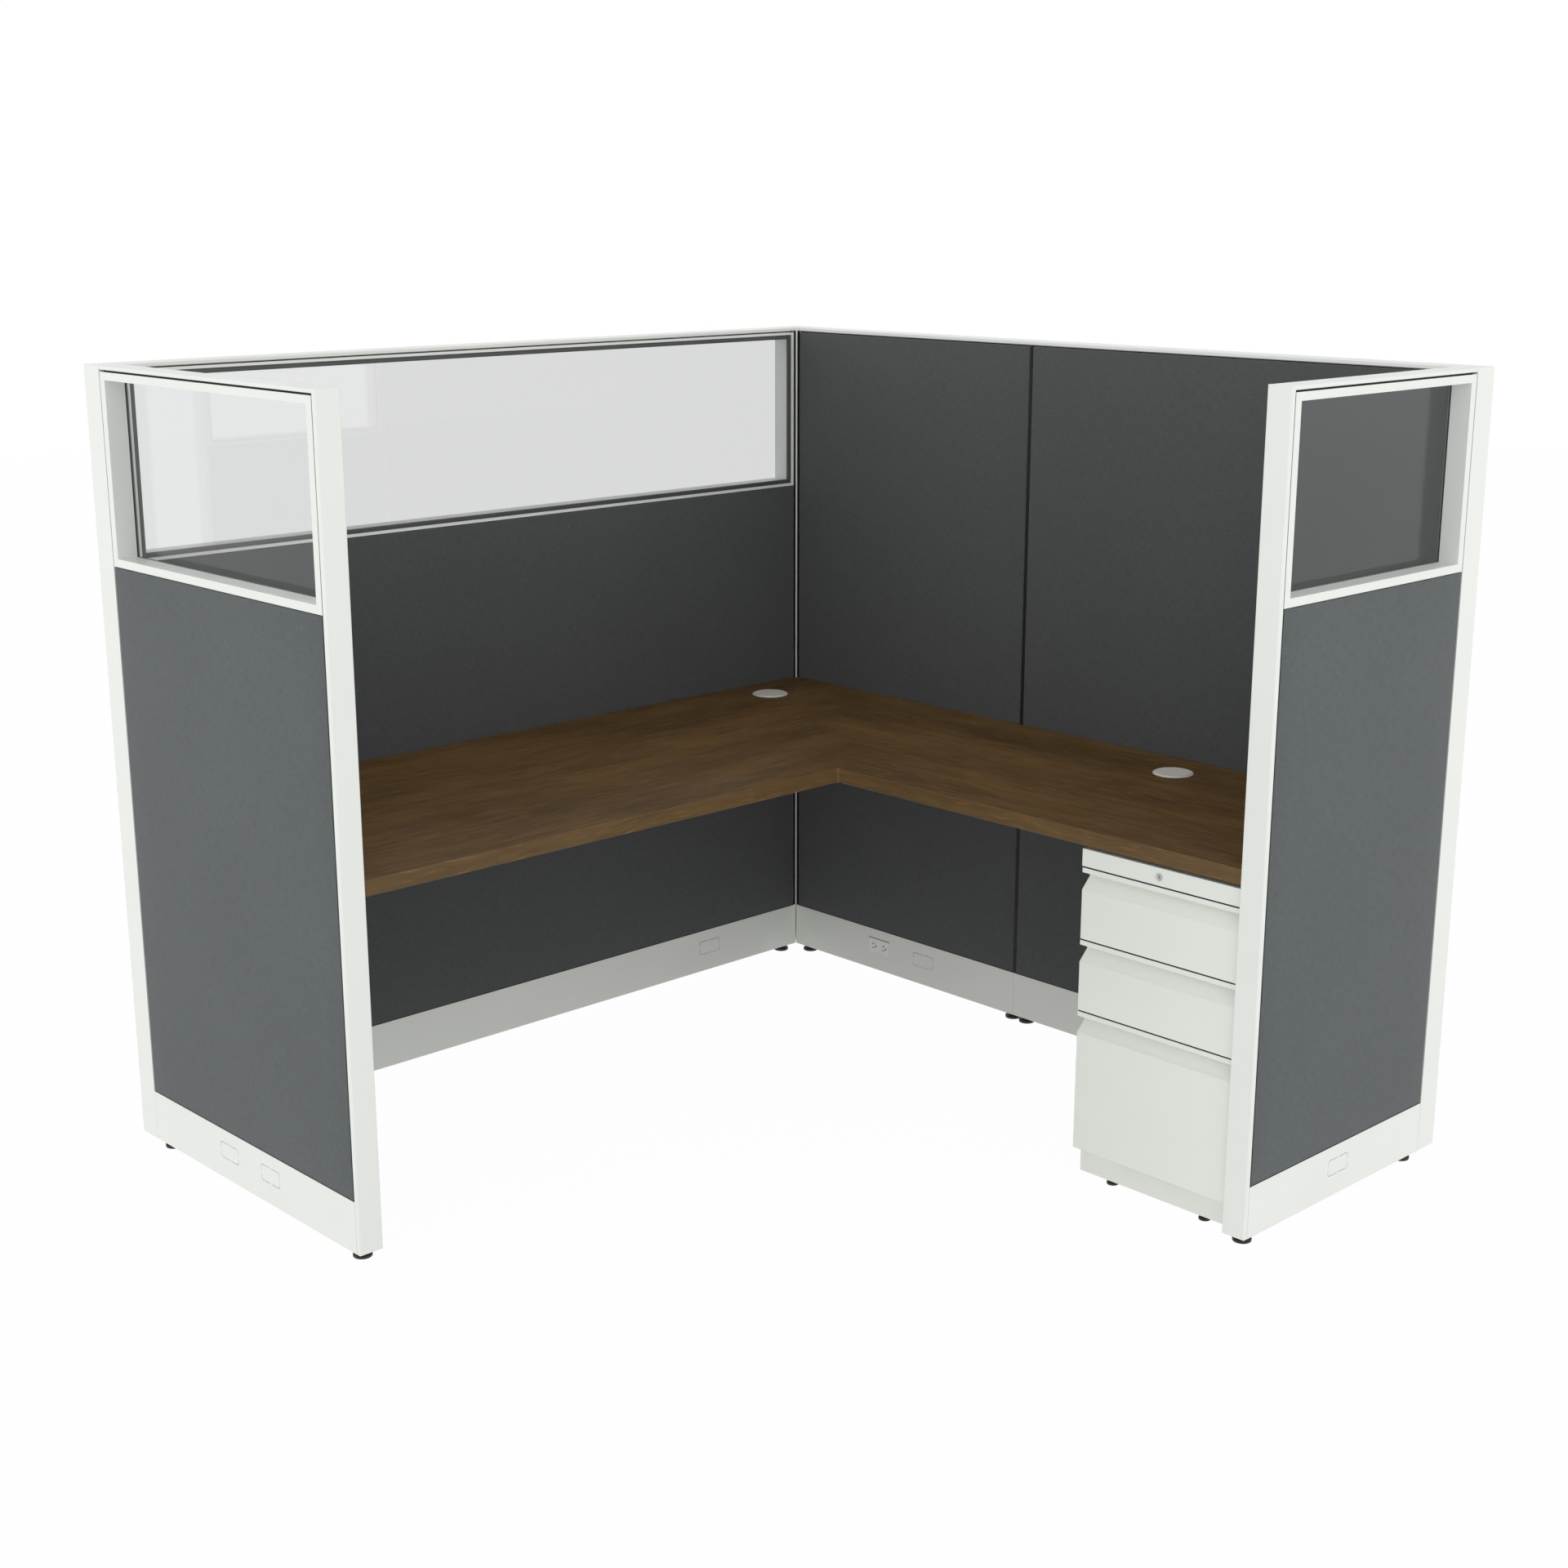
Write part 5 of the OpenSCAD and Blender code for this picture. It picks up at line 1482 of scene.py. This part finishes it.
@dataclass
class Worksurface:
    """The L-shaped top with its edge band, grommets and brackets."""

    top: float = float(box_of("worksurface")[1, 2])
    thickness: float = float(np.ptp(box_of("worksurface")[:, 2]))
    reach: float = float(box_of("worksurface")[1, 0])
    corner_radius: float = 0.006
    edge_radius: float = 0.0013
    bracket_radius: float = 0.0005

    def band_path(self) -> tuple[np.ndarray, np.ndarray]:
        """The front edge from above: the left run, the quarter circle of the corner, the right run.

        Returns:
            Points of the outer line, and the way from each to the board, in band thicknesses.
        """
        x, y = INNER_CORNER
        r = self.corner_radius
        angle = np.linspace(math.pi, math.pi / 2, 9)
        legs_y = np.linspace(-self.reach, y - r, 12)[:-1]
        legs_x = np.linspace(x + r, self.reach, 12)[1:]
        line = np.concatenate([
            np.stack([np.full_like(legs_y, x), legs_y], axis=1),
            np.stack([x + r + r * np.cos(angle), y - r + r * np.sin(angle)], axis=1),
            np.stack([legs_x, np.full_like(legs_x, y)], axis=1)])
        bend = np.clip((math.pi - angle) / (math.pi / 2), 0, 1)
        turned = np.concatenate([np.zeros(len(legs_y)), bend, np.ones(len(legs_x))])
        inward = np.stack([-np.clip(2 - 2 * turned, 0, 1), np.clip(2 * turned, 0, 1)], axis=1)
        return line, inward

    def band_profile(self) -> tuple[np.ndarray, np.ndarray]:
        """The band's section: flat at the board, with both outer edges rounded by quarter circles.

        Returns:
            Share of the band's thickness in from its face, and height under the top.
        """
        r = self.edge_radius
        angle = quarter_turn(5)
        first, second = r * (1 - np.sin(angle)), r * (1 - np.cos(angle))
        depth_in = np.concatenate([[BAND], first, second, [BAND]])
        down = np.concatenate([[0.0], second, self.thickness - first, [self.thickness]])
        return depth_in / BAND, down

    def band_mesh(self) -> bpy.types.Mesh:
        """The section carried along the front edge, closed at both ends.

        Returns:
            The closed mesh, with its UV map in metres along the band.
        """
        line, inward = self.band_path()
        share, down = self.band_profile()
        plan = line[:, None, :] + inward[:, None, :] * (share * BAND)[None, :, None]
        z = np.broadcast_to(self.top - down, plan.shape[:2])
        points = np.concatenate([plan, z[..., None]], axis=-1)
        run = np.concatenate([[0.0], np.cumsum(np.linalg.norm(np.diff(line, axis=0), axis=1))])
        uv = np.stack(np.broadcast_arrays(run[:, None], down[None, :]), axis=-1)
        rows, columns = points.shape[:2]
        faces = grid_faces(rows, columns, wrap_columns=True)
        faces += [list(range(columns)), list(range((rows - 1) * columns, rows * columns))]
        return closed_mesh("edge_band", points.reshape(-1, 3), faces, uv.reshape(-1, 2))

    def build(self) -> None:
        """Makes the band and dresses the rest."""
        paint("worksurface", WALNUT_TOP)
        add_piece("front_edge_band", self.band_mesh(), [WALNUT_EDGE], body_of("edge_band"),
                  ["edge_band"])
        soften("worksurface_brackets", FRAME_BLACK, self.bracket_radius)
        paint("grommet_sleeves", PALE_PLASTIC)
        paint("corner_grommet_cap", PALE_PLASTIC)
        paint("right_grommet_cap", PALE_PLASTIC)


@dataclass
class Pedestal:
    """Case, plinth, drawers with their fronts and slides, and the lock."""

    sheet_radius: float = 0.0009
    box_radius: float = 0.0004
    housing_radius: float = 0.0003
    plug_radius: float = 0.0002
    drawers: tuple[str, ...] = ("upper", "middle", "file")
    strip_height: float = 0.0025
    strip_setback: float = 0.0009
    strip_depth: float = 0.009
    strip_inset: float = 0.001
    keyway: tuple[float, float] = (0.0013, 0.0066)
    keyway_depth: float = 0.0006

    def gap_shade_strip(self, drawer: str) -> bpy.types.Mesh:
        """The black strip on a front's top edge, in the gap above it: painted shade that stands in
        for the shadow in the gap.

        Args:
            drawer: Which drawer's front it lies on.

        Returns:
            The strip's mesh.
        """
        low, high = box_of(f"{drawer}_front")
        middle = low[1] + self.strip_setback + self.strip_depth / 2
        ends = tuple((x, middle, high[2])
                     for x in (low[0] + self.strip_inset, high[0] - self.strip_inset))
        section = bar_section(self.strip_depth, self.strip_height, self.strip_height / 3)
        return carried(f"{drawer}_gap_shade_strip", section, ends, (0, 1, 0), (0, 0, 1))

    def keyway_shade_liner(self) -> bpy.types.Mesh:
        """A dark piece at the bottom of the key slot, one depth under the plug's face and three
        deep: painted shade for the inside of the slot.

        Returns:
            The liner's mesh.
        """
        across, height = self.keyway
        x, _, z = box_of("lock_rail").mean(axis=0)
        back = box_of("lock_plug")[0, 1] + self.keyway_depth * 4
        ends = tuple((x, back, z + side * height / 2) for side in (-1, 1))
        section = bar_section(across, self.keyway_depth * 3, self.keyway_depth / 2)
        return carried("keyway_shade_liner", section, ends, (1, 0, 0), (0, -1, 0))

    def build(self) -> None:
        """Softens the sheet parts and dresses the rest."""
        add_strip("keyway_shade_liner", self.keyway_shade_liner(), "lock_plug", BLACK_PLASTIC_AND_SHADE)
        for sheet in ("pedestal_case", "pedestal_plinth", "lock_rail"):
            soften(sheet, PEDESTAL_WHITE, self.sheet_radius)
        for drawer in self.drawers:
            soften(f"{drawer}_front", PEDESTAL_WHITE, self.sheet_radius)
            add_strip(f"{drawer}_gap_shade_strip", self.gap_shade_strip(drawer), f"{drawer}_front")
            soften(f"{drawer}_drawer", DRAWER_GREY, self.box_radius, second=ZINC)
            paint(f"{drawer}_slides", ZINC)
        paint("case_slides", ZINC)
        soften("lock_housing", LOCK_CHROME, self.housing_radius, Edges.ALL)
        soften("lock_plug", LOCK_CHROME, self.plug_radius, Edges.ALL)
        paint("lock_bar", ZINC)
        paint("pedestal_glides", BLACK_PLASTIC_AND_SHADE)


# Light and camera


@dataclass(frozen=True)
class Lamp:
    """A soft area lamp."""

    name: str
    place: tuple[float, float, float]
    aim: tuple[float, float, float]
    size: float
    watts: float

    def build(self) -> None:
        """Hangs the lamp and turns it to its aim."""
        data = bpy.data.lights.new(self.name, "AREA")
        data.shape, data.size, data.energy = "DISK", self.size, self.watts
        lamp = bpy.data.objects.new(self.name, data)
        lamp.location = self.place
        lamp.rotation_mode = "QUATERNION"
        lamp.rotation_quaternion = (Vector(self.aim) - Vector(self.place)).to_track_quat("-Z", "Y")
        bpy.context.scene.collection.objects.link(lamp)


@dataclass
class Studio:
    """White floor and backdrop, soft light and the camera at the photograph's view."""

    camera_place: tuple[float, float, float] = (3.2608, -3.1039, 1.9632)
    yaw: float = 46.41
    pitch: float = -15.11
    lens: float = 52.054
    shift_up: float = 0.01484
    sensor: float = 36.0
    view_end: float = 60.0
    horizon: float = 1.33
    zenith: float = 0.76
    sky_band: tuple[float, float] = (0.1, 0.75)
    floor_reach: float = 14.0
    floor_colour: Colour = (0.9, 0.9, 0.9)
    floor_glow: float = 0.34
    floor_seen: float = 0.98
    lamps: tuple[Lamp, ...] = (
        Lamp("left_side", (-2.4, -5.4, 1.4), (-0.5, 0.0, 0.6), 2.6, 8.0),
        Lamp("right_side", (5.4, 2.6, 1.4), (0.0, 0.5, 0.6), 2.6, 8.0),
    )

    def white_for_view(self, s: ShaderTree) -> Socket:
        """A mask that is 1 for rays that see the backdrop straight, in a gloss or through glass.

        Args:
            s: The tree that the nodes go into.

        Returns:
            The mask.
        """
        path = s.add("ShaderNodeLightPath")
        seen = s.math("MAXIMUM", path.outputs["Is Camera Ray"], path.outputs["Is Glossy Ray"])
        return s.math("MAXIMUM", seen, path.outputs["Is Transmission Ray"])

    def world(self) -> None:
        """A white world to look at, and a soft grey one to light with, brightest at the horizon."""
        world = bpy.data.worlds.new("studio")
        bpy.context.scene.world = world
        world.use_nodes = True
        s = ShaderTree(world.node_tree)
        s.tree.nodes.clear()
        lit, seen = s.add("ShaderNodeBackground"), s.add("ShaderNodeBackground")
        _, _, up = s.parts(s.add("ShaderNodeTexCoord").outputs["Generated"])
        s.feed(lit.inputs["Strength"], s.span(up, *self.sky_band, self.horizon, self.zenith))
        s.feed(seen.inputs["Strength"], 1.0)
        for sky in (lit, seen):
            s.feed(sky.inputs["Color"], (1.0, 1.0, 1.0))
        s.mix_shaders(self.white_for_view(s), lit.outputs[0], seen.outputs[0],
                      s.add("ShaderNodeOutputWorld").inputs["Surface"])

    def floor(self) -> None:
        """A pale floor that looks white and still keeps a soft shadow."""
        mesh = bpy.data.meshes.new("floor")
        corners = ((-1, -1), (1, -1), (1, 1), (-1, 1))
        reach = self.floor_reach
        mesh.from_pydata([(x * reach, y * reach, 0) for x, y in corners], [], [(0, 1, 2, 3)])
        material = bpy.data.materials.new("studio_floor")
        material.use_nodes = True
        s = ShaderTree(material.node_tree)
        s.tree.nodes.clear()
        matte, glow = s.add("ShaderNodeBsdfDiffuse"), s.add("ShaderNodeEmission")
        s.feed(matte.inputs["Color"], self.floor_colour)
        s.feed(glow.inputs["Strength"], 1.0)
        share = s.span(self.white_for_view(s), 0.0, 1.0, self.floor_glow, self.floor_seen)
        s.mix_shaders(share, matte.outputs[0], glow.outputs[0],
                      s.add("ShaderNodeOutputMaterial").inputs["Surface"])
        mesh.materials.append(material)
        floor = bpy.data.objects.new("floor", mesh)
        bpy.context.scene.collection.objects.link(floor)

    def camera(self) -> None:
        """The camera at the photograph's view."""
        data = bpy.data.cameras.new("view")
        data.lens, data.sensor_width = self.lens, self.sensor
        data.shift_y, data.clip_end = self.shift_up, self.view_end
        camera = bpy.data.objects.new("view", data)
        yaw, pitch = math.radians(self.yaw), math.radians(self.pitch)
        level = math.cos(pitch)
        forward = Vector((-math.sin(yaw) * level, math.cos(yaw) * level, math.sin(pitch)))
        camera.location = self.camera_place
        camera.rotation_mode = "QUATERNION"
        camera.rotation_quaternion = forward.to_track_quat("-Z", "Y")
        bpy.context.scene.collection.objects.link(camera)
        bpy.context.scene.camera = camera

    def build(self) -> None:
        """Sets the stage."""
        bpy.context.scene.view_settings.view_transform = "Standard"
        self.camera()
        self.world()
        self.floor()
        for lamp in self.lamps:
            lamp.build()


def main() -> None:
    """Builds the stage and every sub-assembly in order."""
    logging.basicConfig(level=logging.INFO, format="%(name)s: %(message)s")
    for kind in (Studio, FabricTiles, Windows, WallTrim, Raceway, Worksurface, Pedestal):
        kind().build()
        LOG.info("%s done", kind.__name__)


if __name__ == "__main__":
    main()
